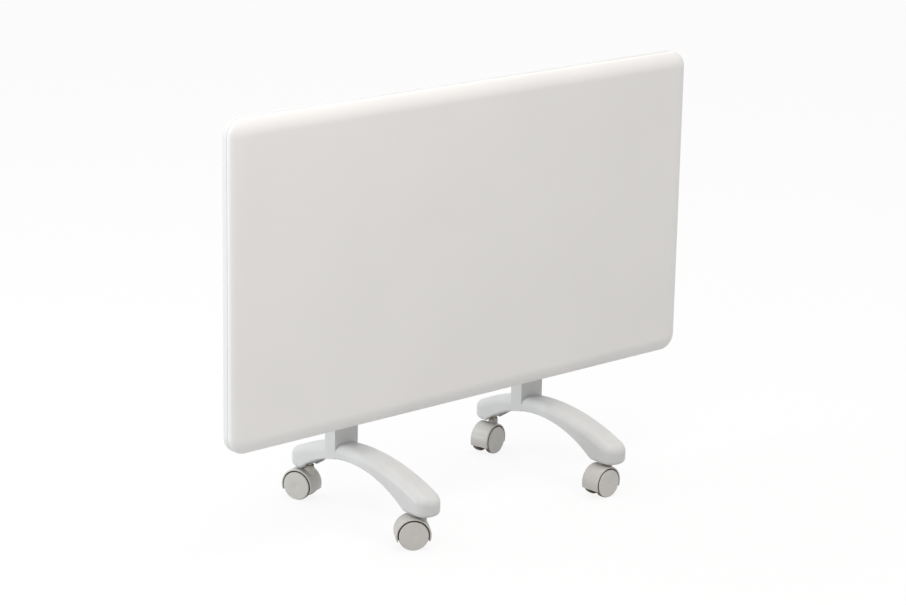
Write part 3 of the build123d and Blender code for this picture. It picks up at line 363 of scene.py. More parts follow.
def lamp_lens(name, colour):
    """Clear coloured lens with moulded prisms inside."""
    finish = Finish(name, colour, 0.12)
    finish.feed(finish.shader, {"Transmission Weight": 0.55, "IOR": 1.49})
    finish.tones(finish.noise(500.0, 2.0), 0.9, 1.1)
    finish.relief(finish.cells(1600.0), 0.0001, 0.3)
    return finish.material


def unglazed(name, colour):
    """Steatite: matt, slightly porous."""
    finish = Finish(name, colour, 0.78)
    finish.tones(finish.noise(700.0, 5.0, 0.7), 0.9, 1.03)
    finish.relief(finish.noise(2200.0, 3.0), 0.00006, 0.6)
    return finish.material


# Kind of surface, colour or the setting that holds it, and what else that kind takes
SURFACES = {
    "panel_paint": (powder_coat, "panel"),
    "casing_paint": (powder_coat, "casing"),
    "zinc_steel": (zinc, (0.60, 0.60, 0.58)),
    "shield_sheet": (rolled_metal, (0.72, 0.72, 0.70), 0.38, (0.03, 1, 1)),
    "fin_aluminium": (rolled_metal, (0.62, 0.62, 0.61), 0.42, (0.02, 1, 1)),
    "rod_steel": (rolled_metal, (0.42, 0.40, 0.37), 0.36, (0.02, 1, 1)),
    "bush_ceramic": (unglazed, (0.80, 0.76, 0.67)),
    "cutout_case": (moulded, (0.035, 0.022, 0.016), 0.5, 900.0),
    "terminal_plastic": (moulded, (0.66, 0.64, 0.57), 0.5),
    "lead_sleeve": (braided_sleeve, (0.58, 0.56, 0.50)),
    "gland_plastic": (moulded, (0.66, 0.66, 0.65), 0.48),
    "bezel_plastic": (moulded, (0.72, 0.72, 0.71), 0.46, 1000.0, 0.00006),
    "thermostat_case": (moulded, (0.035, 0.035, 0.036), 0.5),
    "dial_plastic": (moulded, (0.68, 0.68, 0.67), 0.44, 1000.0, 0.00005),
    "lamp_lens": (lamp_lens, (0.75, 0.16, 0.02)),
    "switch_case": (moulded, (0.64, 0.64, 0.63), 0.32),
    "rocker_plastic": (moulded, (0.74, 0.74, 0.73), 0.28),
    "foot_plastic": (moulded, "feet", 0.40),
    "socket_plastic": (moulded, (0.09, 0.09, 0.09), 0.55),
    "stem_chrome": (rolled_metal, (0.30, 0.27, 0.22), 0.3, (1, 1, 0.05)),
    "hood_plastic": (moulded, "hoods", 0.38),
    # Painted shade: the wheels' dark colour stands in for the shade in the gap between hood and cap
    "wheel_plastic": (moulded, "wheels", 0.55),
    "cap_plastic": (moulded, "caps", 0.45),
}
MADE = {}


def surface(slot):
    """Material of one of the record's slots, made once, in place of the frame's flat one."""
    if slot not in MADE:
        flat = bpy.data.materials.get(slot)
        if flat:
            flat.name = slot + "_flat"
        kind, colour, *facts = SURFACES[slot]
        if isinstance(colour, str):
            colour = tuple(getattr(bpy.context.scene.heater_surfaces, colour))
        MADE[slot] = kind(slot, colour, *facts)
    return MADE[slot]


# ---- mesh helpers

def linked(name, data):
    """New object in the scene."""
    holder = bpy.data.objects.new(name, data)
    bpy.context.scene.collection.objects.link(holder)
    return holder


def finished(name, mesh_data, slot, body, smooth=35.0):
    """Object from a bmesh, with its surface, riding on a body."""
    if not mesh_data.faces:
        raise RuntimeError(name + " came out empty")
    mesh = bpy.data.meshes.new(name)
    bmesh.ops.recalc_face_normals(mesh_data, faces=mesh_data.faces)
    mesh_data.to_mesh(mesh)
    mesh_data.free()
    mesh.shade_smooth()
    mesh.set_sharp_from_angle(angle=math.radians(smooth))
    piece = linked(name, mesh)
    mesh.materials.append(surface(slot))
    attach(piece, body)
    return piece


def rounded_ring(half_w, half_h, radius, y, middle_z, steps):
    """Points of a rounded rectangle across Y."""
    points = []
    for turn, (sx, sz) in enumerate(((1, 1), (-1, 1), (-1, -1), (1, -1))):
        for i in range(steps + 1):
            angle = math.pi / 2 * (turn + i / steps)
            points.append(Vector((sx * (half_w - radius) + radius * math.cos(angle), y,
                                  middle_z + sz * (half_h - radius) + radius * math.sin(angle))))
    return points


def loft(mesh_data, rings, capped=True):
    """Skin over rings with the same number of points, back to the first if it has no caps."""
    rows = [[mesh_data.verts.new(point) for point in ring] for ring in rings]
    after = rows[1:] if capped else rows[1:] + rows[:1]
    for one, two in zip(rows, after):
        for i in range(len(one)):
            j = (i + 1) % len(one)
            mesh_data.faces.new((one[i], one[j], two[j], two[i]))
    if capped:
        mesh_data.faces.new(rows[0])
        mesh_data.faces.new(list(reversed(rows[-1])))


def arc(centre, radius, start, end, steps):
    """Points of an arc between two angles in degrees."""
    turns = [math.radians(start + (end - start) * i / steps) for i in range(steps + 1)]
    return [(centre[0] + radius * math.cos(a), centre[1] + radius * math.sin(a)) for a in turns]


def turned(profile, steps):
    """Closed form turned about Z from (radius, height) points."""
    form = bmesh.new()
    rings = []
    for i in range(steps):
        a = 2 * math.pi * i / steps
        rings.append([Vector((r * math.cos(a), r * math.sin(a), h)) for r, h in profile])
    loft(form, rings, capped=False)
    bmesh.ops.remove_doubles(form, verts=form.verts, dist=1e-7)
    bmesh.ops.dissolve_degenerate(form, edges=form.edges, dist=1e-7)
    bmesh.ops.recalc_face_normals(form, faces=form.faces)
    return form


def rod(radius, low, high, steps):
    """Round bar along Z."""
    return turned([(0.0, low), (radius, low), (radius, high), (0.0, high)], steps)


def brick(size, middle):
    """Plain block."""
    form = bmesh.new()
    bmesh.ops.create_cube(form, size=1.0)
    bmesh.ops.transform(form, matrix=Matrix.Translation(middle) @ Matrix.Diagonal((*size, 1.0)),
                        verts=form.verts)
    return form


def placed(form, matrix):
    """The form, moved."""
    bmesh.ops.transform(form, matrix=matrix, verts=form.verts)
    return form


def holder_of(name, form):
    """Passing object for a form that a modifier works on."""
    mesh = bpy.data.meshes.new(name)
    form.to_mesh(mesh)
    form.free()
    return linked(name, mesh)


def evaluated(holder):
    """Plain mesh of an object with its modifiers."""
    bpy.context.view_layer.update()
    graph = bpy.context.evaluated_depsgraph_get()
    return bpy.data.meshes.new_from_object(holder.evaluated_get(graph), depsgraph=graph)


def carved(form, tool, operation="DIFFERENCE"):
    """The form with the tool taken away, or added."""
    base = holder_of("carved", form)
    cutter = holder_of("cutter", tool)
    step = base.modifiers.new("carve", "BOOLEAN")
    step.object = cutter
    step.operation = operation
    step.solver = "EXACT"
    result = bmesh.new()
    mesh = evaluated(base)
    result.from_mesh(mesh)
    bpy.data.meshes.remove(mesh)
    for holder in (base, cutter):
        bpy.data.objects.remove(holder)
    return result


def solids_of(name):
    """Lowest and highest corners of each solid of a node."""
    form = bmesh.new()
    form.from_mesh(NODES[name].data)
    bmesh.ops.remove_doubles(form, verts=form.verts, dist=1e-6)
    left = set(form.verts)
    boxes = []
    while left:
        group = {left.pop()}
        edge = list(group)
        while edge:
            near = {e.other_vert(v) for v in edge for e in v.link_edges} & left
            left -= near
            group |= near
            edge = list(near)
        places = [v.co for v in group]
        boxes.append((Vector(map(min, zip(*places))), Vector(map(max, zip(*places)))))
    form.free()
    return sorted(boxes, key=lambda box: tuple(box[0]))


class Pattern(Tree):
    """Geometry Nodes tree with named inputs."""

    def __init__(self, name, numbers, kinds):
        super().__init__(bpy.data.node_groups.new(name, "GeometryNodeTree"))
        face = self.tree.interface
        face.new_socket("Geometry", in_out="OUTPUT", socket_type="NodeSocketGeometry")
        self.sockets = {}
        for label, kind in {**kinds, **dict.fromkeys(numbers, "Float")}.items():
            socket = face.new_socket(label, in_out="INPUT", socket_type="NodeSocket" + kind)
            self.sockets[label] = socket.identifier
        self.given = self.nodes.new("NodeGroupInput").outputs

    def sum(self, operation, *values):
        """Number worked out from others."""
        return self.add("ShaderNodeMath", dict(enumerate(values)), operation=operation)

    def copies(self, points, instance, turn):
        """The instance on every point."""
        return self.add("GeometryNodeInstanceOnPoints",
                        {"Points": points, "Instance": instance, "Rotation": turn})

    def moved(self, geometry, turn=(0.0, 0.0, 0.0)):
        """The geometry turned, and moved to the tree's Middle."""
        return self.add("GeometryNodeTransform", {
            "Geometry": geometry, "Rotation": turn, "Translation": self.given["Middle"]})

    def close(self, geometry, slot):
        """Ends the tree: instances made real, and their surface."""
        self.slot = slot
        real = self.add("GeometryNodeRealizeInstances", {"Geometry": geometry})
        clad = self.add("GeometryNodeSetMaterial", {"Geometry": real, "Material": surface(slot)})
        self.feed(self.nodes.new("NodeGroupOutput"), {0: clad})
        return self

    def grown(self, name, values, body, points=()):
        """Plain finished piece from the tree, riding on a body."""
        form = bmesh.new()
        for point in points:
            form.verts.new(point)
        holder = holder_of(name + "_base", form)
        step = holder.modifiers.new("pattern", "NODES")
        step.node_group = self.tree
        for label, value in values.items():
            step[self.sockets[label]] = value
        mesh = evaluated(holder)
        bpy.data.objects.remove(holder)
        result = bmesh.new()
        result.from_mesh(mesh)
        bpy.data.meshes.remove(mesh)
        return finished(name, result, self.slot, body)


# ---- front shell

def roll_profile(reach, depth, face_corner, steps):
    """Points of the rolled edge from its back edge to the face, as (corner radius, back)."""
    tight = ((reach + depth) / math.sqrt(2) - reach) / (math.sqrt(2) - 1)
    wide = reach + depth - tight
    corner = face_corner + reach
    points = []
    for i in range(steps + 1):
        angle = math.radians(90 - 45 * i / steps)
        points.append((corner - tight + tight * math.sin(angle), depth - tight * math.cos(angle)))
    for i in range(1, steps + 1):
        angle = math.radians(45 - 45 * i / steps)
        points.append((face_corner + wide * math.sin(angle), wide - wide * math.cos(angle)))
    return points


class HEATER_OT_shell(bpy.types.Operator):
    """Pressed front shell with its rolled edges and hemmed back edge"""
    bl_idname = "heater.shell"
    bl_label = "Front shell"

    def execute(self, context):
        s = context.scene.heater_shell
        half_w = (PANEL_HIGH.x - PANEL_LOW.x) / 2
        half_h = (PANEL_HIGH.z - PANEL_LOW.z) / 2
        middle = (PANEL_HIGH.z + PANEL_LOW.z) / 2
        corner = s.roll_reach + s.face_corner
        back = s.roll_depth
        outer = roll_profile(s.roll_reach, back, s.face_corner, s.roll_steps)
        inner = [(radius, behind + s.sheet) for radius, behind in roll_profile(
            s.roll_reach - s.sheet, back - s.sheet, s.face_corner, s.roll_steps)]
        turn = [math.radians(degrees) for degrees in (30, 60, 90)]
        hem = [(corner - s.hem * (1 - math.cos(a)), back - s.hem * (1 - math.sin(a)))
               for a in turn]
        lip = [(corner - s.sheet + s.hem * (1 - math.cos(a)), back - s.hem * (1 - math.sin(a)))
               for a in reversed(turn)]
        middle_corner = min(s.face_corner, s.cap_corner)
        rings = [(middle_corner, 0.0)]
        rings += [point for point in reversed(outer) if point[1] < back - s.hem]
        rings += hem + lip + [point for point in inner if point[1] < back - s.hem]
        rings += [(middle_corner, s.sheet)]
        shell = bmesh.new()
        skin = [rounded_ring(half_w - corner + radius, half_h - corner + radius, radius,
                             PANEL_LOW.y + depth, middle, s.corner_steps)
                for radius, depth in rings]
        loft(shell, skin)
        piece = finished("front_shell", shell, "panel_paint", "heater", smooth=50.0)
        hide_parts("front_panel")
        return {"FINISHED"}


# ---- castors

def corner_place(corner):
    """Castor's own axes: Z up the stem, Y along the axle, trailing towards X."""
    stem = Vector(JOINTS[corner + "_swivel"]["pos_m"])
    axle = Vector(JOINTS[corner + "_spin_1"]["pos_m"])
    trail = Vector((axle.x - stem.x, axle.y - stem.y, 0.0))
    ahead = trail.normalized()
    side = Vector((-ahead.y, ahead.x, 0.0))
    turn = Matrix((ahead, side, Vector((0, 0, 1)))).transposed().to_4x4()
    to_axle = Matrix.Translation((trail.length, 0, axle.z))
    return Matrix.Translation((stem.x, stem.y, 0)) @ turn, to_axle


ALONG_AXLE = Matrix.Rotation(-math.pi / 2, 4, "X")
BORE_STEPS = 32
OVERCUT = 1.0 * MM            # how far a cutting form stands out of what it cuts


def hood_form(s, to_axle):
    """Hood with its middle web, stem boss and holes."""
    inside = s.hood_radius - s.hood_wall
    lip, crease = s.hood_lip, s.hood_crease
    half = [(0.0, s.web_half), (inside - lip, s.web_half)]
    half += arc((inside - lip, s.web_half + lip), lip, -90, 0, 4)
    half += arc((inside + crease, s.hood_half - crease), crease, 180, 90, 3)
    half += arc((s.hood_radius - lip, s.hood_half - lip), lip, 90, 0, 6)
    profile = half + [(r, -h) for r, h in reversed(half)]
    hood = placed(turned(profile, s.turn_steps), to_axle @ ALONG_AXLE)
    axle_z = to_axle.translation.z
    neck = [(0.0, axle_z), (s.web_half, axle_z), (s.web_half, s.neck_top - s.neck_edge),
            (s.web_half - s.neck_edge, s.neck_top), (0.0, s.neck_top)]
    hood = carved(hood, turned(neck, s.turn_steps // 2), "UNION")
    span = 4 * s.hood_radius
    hood = carved(hood, brick((span, span, span),
                              (to_axle.translation.x, 0, axle_z - s.skirt - span / 2)))
    hood = carved(hood, rod(s.spigot_radius, s.neck_floor, s.neck_top + OVERCUT, BORE_STEPS))
    bore = rod(s.axle_radius, -s.hood_half, s.hood_half, BORE_STEPS)
    return carved(hood, placed(bore, to_axle @ ALONG_AXLE))


def wheel_form(s):
    """Wheel with rounded shoulders, web and hub, along Z."""
    inner = s.wheel_radius - s.rim
    middle = (s.wheel_near + s.wheel_far) / 2
    shoulder = s.shoulder
    hub_far = s.wheel_far - s.play
    profile = [(s.bore, s.wheel_near), (s.hub_radius, s.wheel_near),
               (s.hub_radius, middle - s.web / 2), (inner, middle - s.web / 2),
               (inner, s.wheel_near)]
    profile += arc((s.wheel_radius - shoulder, s.wheel_near + shoulder), shoulder, -90, 0, 5)
    profile += arc((s.wheel_radius - shoulder, s.wheel_far - shoulder), shoulder, 0, 90, 5)
    profile += [(inner, s.wheel_far), (inner, middle + s.web / 2),
                (s.hub_radius, middle + s.web / 2), (s.hub_radius, hub_far), (s.bore, hub_far)]
    return turned(profile, s.turn_steps)


DISH_POINTS = ((0.45, 0.8), (0.80, 0.25))     # shares of the cap's radius and of its dish
DISH_START = 2.6              # rounded edges of the cap between its side and the dish


def cap_form(s):
    """Cap: slightly dished face with a gate mark, rounded edge and snap ring."""
    face = s.wheel_far + s.cap_thick
    edge = s.cap_thick / 2
    ring = s.wheel_radius - s.rim - s.play
    snap = s.wheel_far - s.snap_reach
    gate = face - s.cap_dish - s.gate_depth
    profile = [(0.0, s.wheel_far), (0.0, gate), (s.gate_radius, gate),
               (s.gate_edge, face - s.cap_dish)]
    profile += [(out * s.cap_radius, face - deep * s.cap_dish) for out, deep in DISH_POINTS]
    profile += [(s.cap_radius - DISH_START * edge, face)]
    profile += arc((s.cap_radius - edge, face - edge), edge, 90, 0, 6)
    profile += [(s.cap_radius, s.wheel_far), (ring, s.wheel_far), (ring, snap),
                (ring - s.snap_wall, snap), (ring - s.snap_wall, s.wheel_far)]
    return turned(profile, s.turn_steps)


class HEATER_OT_castors(bpy.types.Operator):
    """Hoods, wheels and caps of the four castors"""
    bl_idname = "heater.castors"
    bl_label = "Castors"

    def execute(self, context):
        s = context.scene.heater_castors
        for corner in CORNERS:
            place, to_axle = corner_place(corner)
            hood = placed(hood_form(s, to_axle), place)
            piece = finished(corner + "_hood_shell", hood, "hood_plastic", corner + "_castor")
            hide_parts(corner + "_hood")
            for digit, turn in (("1", Matrix()), ("2", Matrix.Rotation(math.pi, 4, "Z"))):
                across = place @ to_axle @ turn @ ALONG_AXLE
                body = corner + "_roller_" + digit
                wheel = finished(corner + "_tread_" + digit, placed(wheel_form(s), across),
                                 "wheel_plastic", body)
                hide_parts(corner + "_wheel_" + digit)
                cap = finished(corner + "_disc_" + digit, placed(cap_form(s), across),
                               "cap_plastic", body)
                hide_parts(corner + "_cap_" + digit)
        return {"FINISHED"}


# ---- screws

# Way that the heads face, and shank radius, head radius and head height in millimetres
SCREW_SETS = {
    "casing_screws": ((0, 1, 0), 1.9, 4.0, 2.4),
    "post_screws": ((0, 1, 0), 2.0, 4.0, 2.4),
    "bracket_screws": ((0, -1, 0), 1.5, 3.0, 1.8),
    "control_screws": ((1, 0, 0), 1.5, 3.0, 1.8),
}


def screw_form(s, shank_r, head_r, head_h, reach):
    """Cross-recess pan head screw: its seat at the origin, its head upwards."""
    point = s.point * shank_r
    brim, crown = s.brim * head_h, s.crown * head_h
    profile = [(0.0, -reach), (shank_r - point, -reach), (shank_r, point - reach),
               (shank_r, 0.0), (head_r, 0.0), (head_r, brim)]
    profile += arc((head_r - crown, brim), crown, 12, 80, 5)
    profile += [(0.0, head_h)]
    form = turned(profile, s.head_steps)
    deep = 2 * s.recess_depth * head_h
    long, wide = 2 * s.recess_reach * head_r, s.recess_width * head_r
    form = carved(form, brick((long, wide, deep), (0, 0, head_h)))
    return carved(form, brick((wide, long, deep), (0, 0, head_h)))


def screw_pattern(slot):
    """Tree that sets a screw on every point, each turned its own way."""
    tree = Pattern("screw_set", (), {"Places": "Geometry", "Screw": "Object", "Turn": "Vector",
                                     "Seed": "Int"})
    screw = tree.add("GeometryNodeObjectInfo", {"Object": tree.given["Screw"]}, "Geometry")
    set_up = tree.copies(tree.given["Places"], screw, tree.given["Turn"])
    angle = tree.add("FunctionNodeRandomValue",
                     {2: 0.0, 3: math.pi, "Seed": tree.given["Seed"]}, 1, data_type="FLOAT")
    spin = tree.add("ShaderNodeCombineXYZ", {"Z": angle})
    return tree.close(tree.add("GeometryNodeRotateInstances",
                               {"Instances": set_up, "Rotation": spin}), slot)


class HEATER_OT_screws(bpy.types.Operator):
    """Screws of the casing, posts, brackets and bezel"""
    bl_idname = "heater.screws"
    bl_label = "Screws"

    def execute(self, context):
        s = context.scene.heater_fixings
        for seed, (name, (way, *sizes)) in enumerate(SCREW_SETS.items()):
            way = Vector(way)
            shank_r, head_r, head_h = (size * MM for size in sizes)
            places = []
            for low, high in solids_of(name):
                reach = abs((high - low).dot(way)) - head_h
                places.append((low + high) / 2 + way * (reach - head_h) / 2)
            screw = holder_of("screw", screw_form(s, shank_r, head_r, head_h, reach))
            turn = way.to_track_quat("Z", "Y").to_euler()
            piece = screw_pattern(SLOT_OF[name]).grown(
                name + "_crossed", {"Screw": screw, "Turn": tuple(turn), "Seed": seed},
                "heater", places)
            bpy.data.objects.remove(screw)
            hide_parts(name)
        return {"FINISHED"}


# ---- drawn and moulded trim

def collar_pattern():
    """Tree for rows of drawn edges round air slots."""
    tree = Pattern("slot_collars", ("Pitch", "Row pitch", "Length", "Width", "Bead"),
                   {"Columns": "Int", "Rows": "Int", "Middle": "Vector"})
    given = tree.given
    size_x = tree.sum("MULTIPLY", tree.sum("SUBTRACT", given["Columns"], 1.0), given["Pitch"])
    size_y = tree.sum("MULTIPLY", tree.sum("SUBTRACT", given["Rows"], 1.0), given["Row pitch"])
    grid = tree.add("GeometryNodeMeshGrid", {
        "Size X": size_x, "Size Y": size_y, "Vertices X": given["Columns"],
        "Vertices Y": given["Rows"]})
    around = tree.add("GeometryNodeCurvePrimitiveQuadrilateral",
                      {"Width": given["Length"], "Height": given["Width"]})
    radius = tree.sum("MULTIPLY", given["Width"], 0.499)
    around = tree.add("GeometryNodeFilletCurve",
                      {"Curve": around, "Count": 4, "Radius": radius}, mode="POLY")
    bead = tree.add("GeometryNodeCurvePrimitiveCircle",
                    {"Resolution": 6, "Radius": given["Bead"]})
    collar = tree.add("GeometryNodeCurveToMesh", {"Curve": around, "Profile Curve": bead})
    rows = tree.copies(grid, collar, (0.0, 0.0, 0.0))
    return tree.close(tree.moved(rows), "casing_paint")


def ring_pattern(name, slot):
    """Tree for bars set round a circle."""
    tree = Pattern(name, ("Start", "Step", "Radius"),
                   {"Count": "Int", "Bar": "Vector", "Middle": "Vector", "Turn": "Vector"})
    given = tree.given
    heap = tree.add("GeometryNodeMeshLine", {"Count": given["Count"], "Offset": (0, 0, 0)})
    bar = tree.add("GeometryNodeMeshCube", {"Size": given["Bar"]})
    out = tree.add("ShaderNodeCombineXYZ", {"X": given["Radius"]})
    bar = tree.add("GeometryNodeTransform", {"Geometry": bar, "Translation": out})
    index = tree.add("GeometryNodeInputIndex", {})
    angle = tree.sum("MULTIPLY_ADD", index, given["Step"], given["Start"])
    spin = tree.add("ShaderNodeCombineXYZ", {"Z": angle})
    ring = tree.copies(heap, bar, spin)
    return tree.close(tree.moved(ring, given["Turn"]), slot)


def weld_pattern():
    """Tree for spot welds along a rounded rectangle."""
    tree = Pattern("spot_welds", ("Width", "Height", "Corner", "Radius", "Rise"),
                   {"Count": "Int", "Middle": "Vector"})
    given = tree.given
    path = tree.add("GeometryNodeCurvePrimitiveQuadrilateral",
                    {"Width": given["Width"], "Height": given["Height"]})
    path = tree.add("GeometryNodeFilletCurve",
                    {"Curve": path, "Count": 6, "Radius": given["Corner"]}, mode="POLY")
    dots = tree.add("GeometryNodeCurveToPoints", {"Curve": path, "Count": given["Count"]})
    ball = tree.add("GeometryNodeMeshUVSphere",
                    {"Segments": 16, "Rings": 8, "Radius": given["Radius"]})
    squash = tree.sum("DIVIDE", given["Rise"], given["Radius"])
    flat = tree.add("ShaderNodeCombineXYZ", {"X": 1.0, "Y": 1.0, "Z": squash})
    dome = tree.add("GeometryNodeTransform", {"Geometry": ball, "Scale": flat})
    welds = tree.copies(dots, dome, (0.0, 0.0, 0.0))
    return tree.close(tree.moved(welds, (math.pi / 2, 0, 0)), "casing_paint")


class HEATER_OT_casing_trim(bpy.types.Operator):
    """Drawn edges of the air slots and spot welds of the rear flange"""
    bl_idname = "heater.casing_trim"
    bl_label = "Casing trim"

    def execute(self, context):
        s = context.scene.heater_trim
        flange = PANEL_LOW.y + s.rim_back
        middle_y = (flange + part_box("rear_casing")[1].y - s.swage) / 2
        bead = s.collar_bead
        shape = {"Rows": 2, "Pitch": s.slot_pitch, "Row pitch": s.row_pitch,
                 "Length": s.slot_length + bead, "Width": s.slot_width + bead, "Bead": bead}
        for name, columns, x, z in (
                ("upper_slot_collars", s.upper_slots, 0.0, PANEL_HIGH.z - s.casing_step),
                ("lower_slot_collars", s.lower_slots, -s.lower_shift,
                 PANEL_LOW.z + s.casing_step)):
            collar_pattern().grown(
                name, {**shape, "Columns": columns, "Middle": (x, middle_y, z)}, "heater")
        weld_pattern().grown("flange_welds", {
            "Width": PANEL_HIGH.x - PANEL_LOW.x - 2 * s.weld_side,
            "Height": PANEL_HIGH.z - PANEL_LOW.z - 2 * s.weld_end, "Corner": s.weld_corner,
            "Radius": s.weld_radius, "Rise": s.weld_rise, "Count": s.welds,
            "Middle": (0.0, flange, (PANEL_LOW.z + PANEL_HIGH.z) / 2)}, "heater")
        return {"FINISHED"}


# Index dot's section, as shares of its radius and of the marks' height
DOT = ((0.0, -1.0), (1.0, -1.0), (1.0, 0.5), (0.7, 1.5), (0.0, 2.0))
DOT_STEPS = 24
RING_STEPS = 40


class HEATER_OT_control_trim(bpy.types.Operator):
    """Scale on the dial, its index on the bezel, and ribs on the cable gland"""
    bl_idname = "heater.control_trim"
    bl_label = "Control trim"

    def execute(self, context):
        s = context.scene.heater_trim
        low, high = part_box("thermostat_dial")
        middle = (low + high) / 2
        step = 2 * math.pi / (s.scale_marks + 1)
        ring_pattern("dial_scale", "dial_plastic").grown("dial_scale", {
            "Start": step, "Step": step, "Radius": s.scale_radius, "Count": s.scale_marks,
            "Bar": (s.scale_length, s.scale_width, s.scale_width),
            "Middle": (high.x - s.scale_sink, middle.y, middle.z),
            "Turn": (0.0, -math.pi / 2, 0.0)}, "dial")
        above = Vector((high.x, middle.y, high.z + s.index_gap))
        found, spot, _, _ = NODES["control_housing"].ray_cast(above, Vector((-1, 0, 0)))
        if not found:
            raise RuntimeError("no bezel behind the dial's index")
        dome = turned([(out * s.index_radius, up * s.mark_rise) for out, up in DOT], DOT_STEPS)
        outwards = Matrix.Translation(spot) @ Matrix.Rotation(math.pi / 2, 4, "Y")
        finished("dial_index", placed(dome, outwards), "bezel_plastic", "heater")
        low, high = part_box("cable_gland")
        ring_pattern("gland_ribs", "gland_plastic").grown("gland_ribs", {
            "Start": 0.0, "Step": 2 * math.pi / s.grip_ribs, "Radius": s.grip_radius,
            "Count": s.grip_ribs, "Bar": (s.grip_depth, s.grip_width, s.grip_length),
            "Middle": ((low.x + high.x) / 2, (low.y + high.y) / 2, low.z + s.grip_height),
            "Turn": (0.0, 0.0, 0.0)}, "heater")
        return {"FINISHED"}


# ---- switch marks

def rocker_faces():
    """The rocker's two outer faces as (middle, outward normal), the upper one first."""
    form = bmesh.new()
    form.from_mesh(NODES["switch_rocker"].data)
    bmesh.ops.remove_doubles(form, verts=form.verts, dist=1e-6)
    form.normal_update()
    low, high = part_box("switch_rocker")
    half = (low.z + high.z) / 2
    found = {}
    for face in form.faces:
        if face.normal.x > 0.9:
            upper = face.calc_center_median().z > half
            area, middle, normal = found.get(upper, (0.0, Vector(), Vector()))
            size = face.calc_area()
            found[upper] = (area + size, middle + size * face.calc_center_median(),
                            normal + size * face.normal)
    form.free()
    if len(found) < 2:
        raise RuntimeError("the rocker has no two faces to mark")
    return [(found[side][1] / found[side][0], found[side][2].normalized())
            for side in (True, False)]


class HEATER_OT_switch_marks(bpy.types.Operator):
    """Raised bar and ring on the rocker"""
    bl_idname = "heater.switch_marks"
    bl_label = "Switch marks"

    def execute(self, context):
        s = context.scene.heater_trim
        rise = s.mark_rise
        out = s.mark_size / 2
        hole = out - s.mark_width
        ring = turned([(out, -rise), (out, rise), (hole, rise), (hole, -rise)], RING_STEPS)
        forms = (("rocker_bar", brick((s.mark_width, s.mark_size, 2 * rise), (0, 0, 0))),
                 ("rocker_ring", ring))
        for (name, form), (middle, normal) in zip(forms, rocker_faces()):
            upright = Vector((0, 0, 1))
            along = (upright - normal * upright.dot(normal)).normalized()
            turn = Matrix((along.cross(normal), along, normal)).transposed().to_4x4()
            finished(name, placed(form, Matrix.Translation(middle) @ turn),
                     "rocker_plastic", "rocker")
        return {"FINISHED"}


# ---- carried-over nodes

class HEATER_OT_surfaces(bpy.types.Operator):
    """Surfaces of the nodes that keep their own shape"""
    bl_idname = "heater.surfaces"
    bl_label = "Surfaces"

    def execute(self, context):
        for name, node in NODES.items():
            if not node.material_slots:
                node.data.materials.append(None)
            for place in node.material_slots:
                place.material = surface(SLOT_OF[name])
        return {"FINISHED"}


# ---- stage

WARM = (1.0, 0.955, 0.925)
COOL = (0.92, 0.97, 1.0)
ROOM_TONE = (1.0, 0.995, 0.985, 1.0)
FLOOR_REACH = 9.0
SENSOR_WIDTH = 36.0           # millimetres
# Place, aimed at, width, setting that holds its power, colour
LAMPS = {
    "key_lamp": ((-0.85, -0.6, 1.3), (-0.1, 0, 0.45), 0.6, "key_power", WARM),
    "top_lamp": ((0.35, -0.4, 2.5), (0, 0, 0.3), 1.2, "top_power", WARM),
    "back_lamp": ((-1.6, 1.5, 2.0), (0, 0, 0.3), 0.45, "back_power", COOL),
    "side_lamp": ((-1.5, 0.75, 0.35), (0, 0, 0.15), 0.4, "side_power", COOL),
}


def camera_turn(yaw, pitch, roll):
    """Camera's rotation from its yaw, downward pitch and roll."""
    ahead = Vector((math.sin(yaw) * math.cos(pitch), math.cos(yaw) * math.cos(pitch),
                    -math.sin(pitch)))
    right = Vector((math.cos(yaw), -math.sin(yaw), 0.0))
    up = right.cross(ahead)
    level = right * math.cos(roll) + up * math.sin(roll)
    top = up * math.cos(roll) - right * math.sin(roll)
    return Matrix((level, top, -ahead)).transposed().to_4x4()


def lamp(name, place, aim, size, power, colour):
    """Large soft lamp that looks at a point."""
    data = bpy.data.lights.new(name, "AREA")
    data.shape = "DISK"
    data.size = size
    data.energy = power
    data.color = colour
    holder = linked(name, data)
    holder.location = place
    holder.rotation_euler = (Vector(aim) - Vector(place)).to_track_quat("-Z", "Y").to_euler()


def seen_directly(tree):
    """One for camera, glossy and transmission rays, and nought for the rest."""
    path = tree.nodes.new("ShaderNodeLightPath").outputs
    most = path["Is Camera Ray"]
    for kind in ("Is Glossy Ray", "Is Transmission Ray"):
        most = tree.add("ShaderNodeMath", {0: most, 1: path[kind]}, operation="MAXIMUM")
    return most


def floor_surface(tone, seen, white):
    """Pale floor that is seen nearly white and keeps the object's shadow."""
    material = bpy.data.materials.new("studio_floor")
    material.use_nodes = True
    tree = Tree(material.node_tree)
    direct = seen_directly(tree)
    paint = tree.add("ShaderNodeMix", {"Factor": direct, 6: (tone, tone, tone, 1.0),
                                       7: (seen, seen, seen, 1.0)}, 2, data_type="RGBA")
    shader = tree.nodes["Principled BSDF"]
    tree.feed(shader, {"Base Color": paint, "Roughness": 0.9, "Specular IOR Level": 0.1})
    glow = tree.add("ShaderNodeEmission", {"Strength": 1.0})
    weight = tree.add("ShaderNodeMath", {0: direct, 1: white}, operation="MULTIPLY")
    mix = tree.add("ShaderNodeMixShader", {0: weight, 1: shader.outputs[0], 2: glow})
    tree.feed(tree.nodes["Material Output"], {"Surface": mix})
    return material


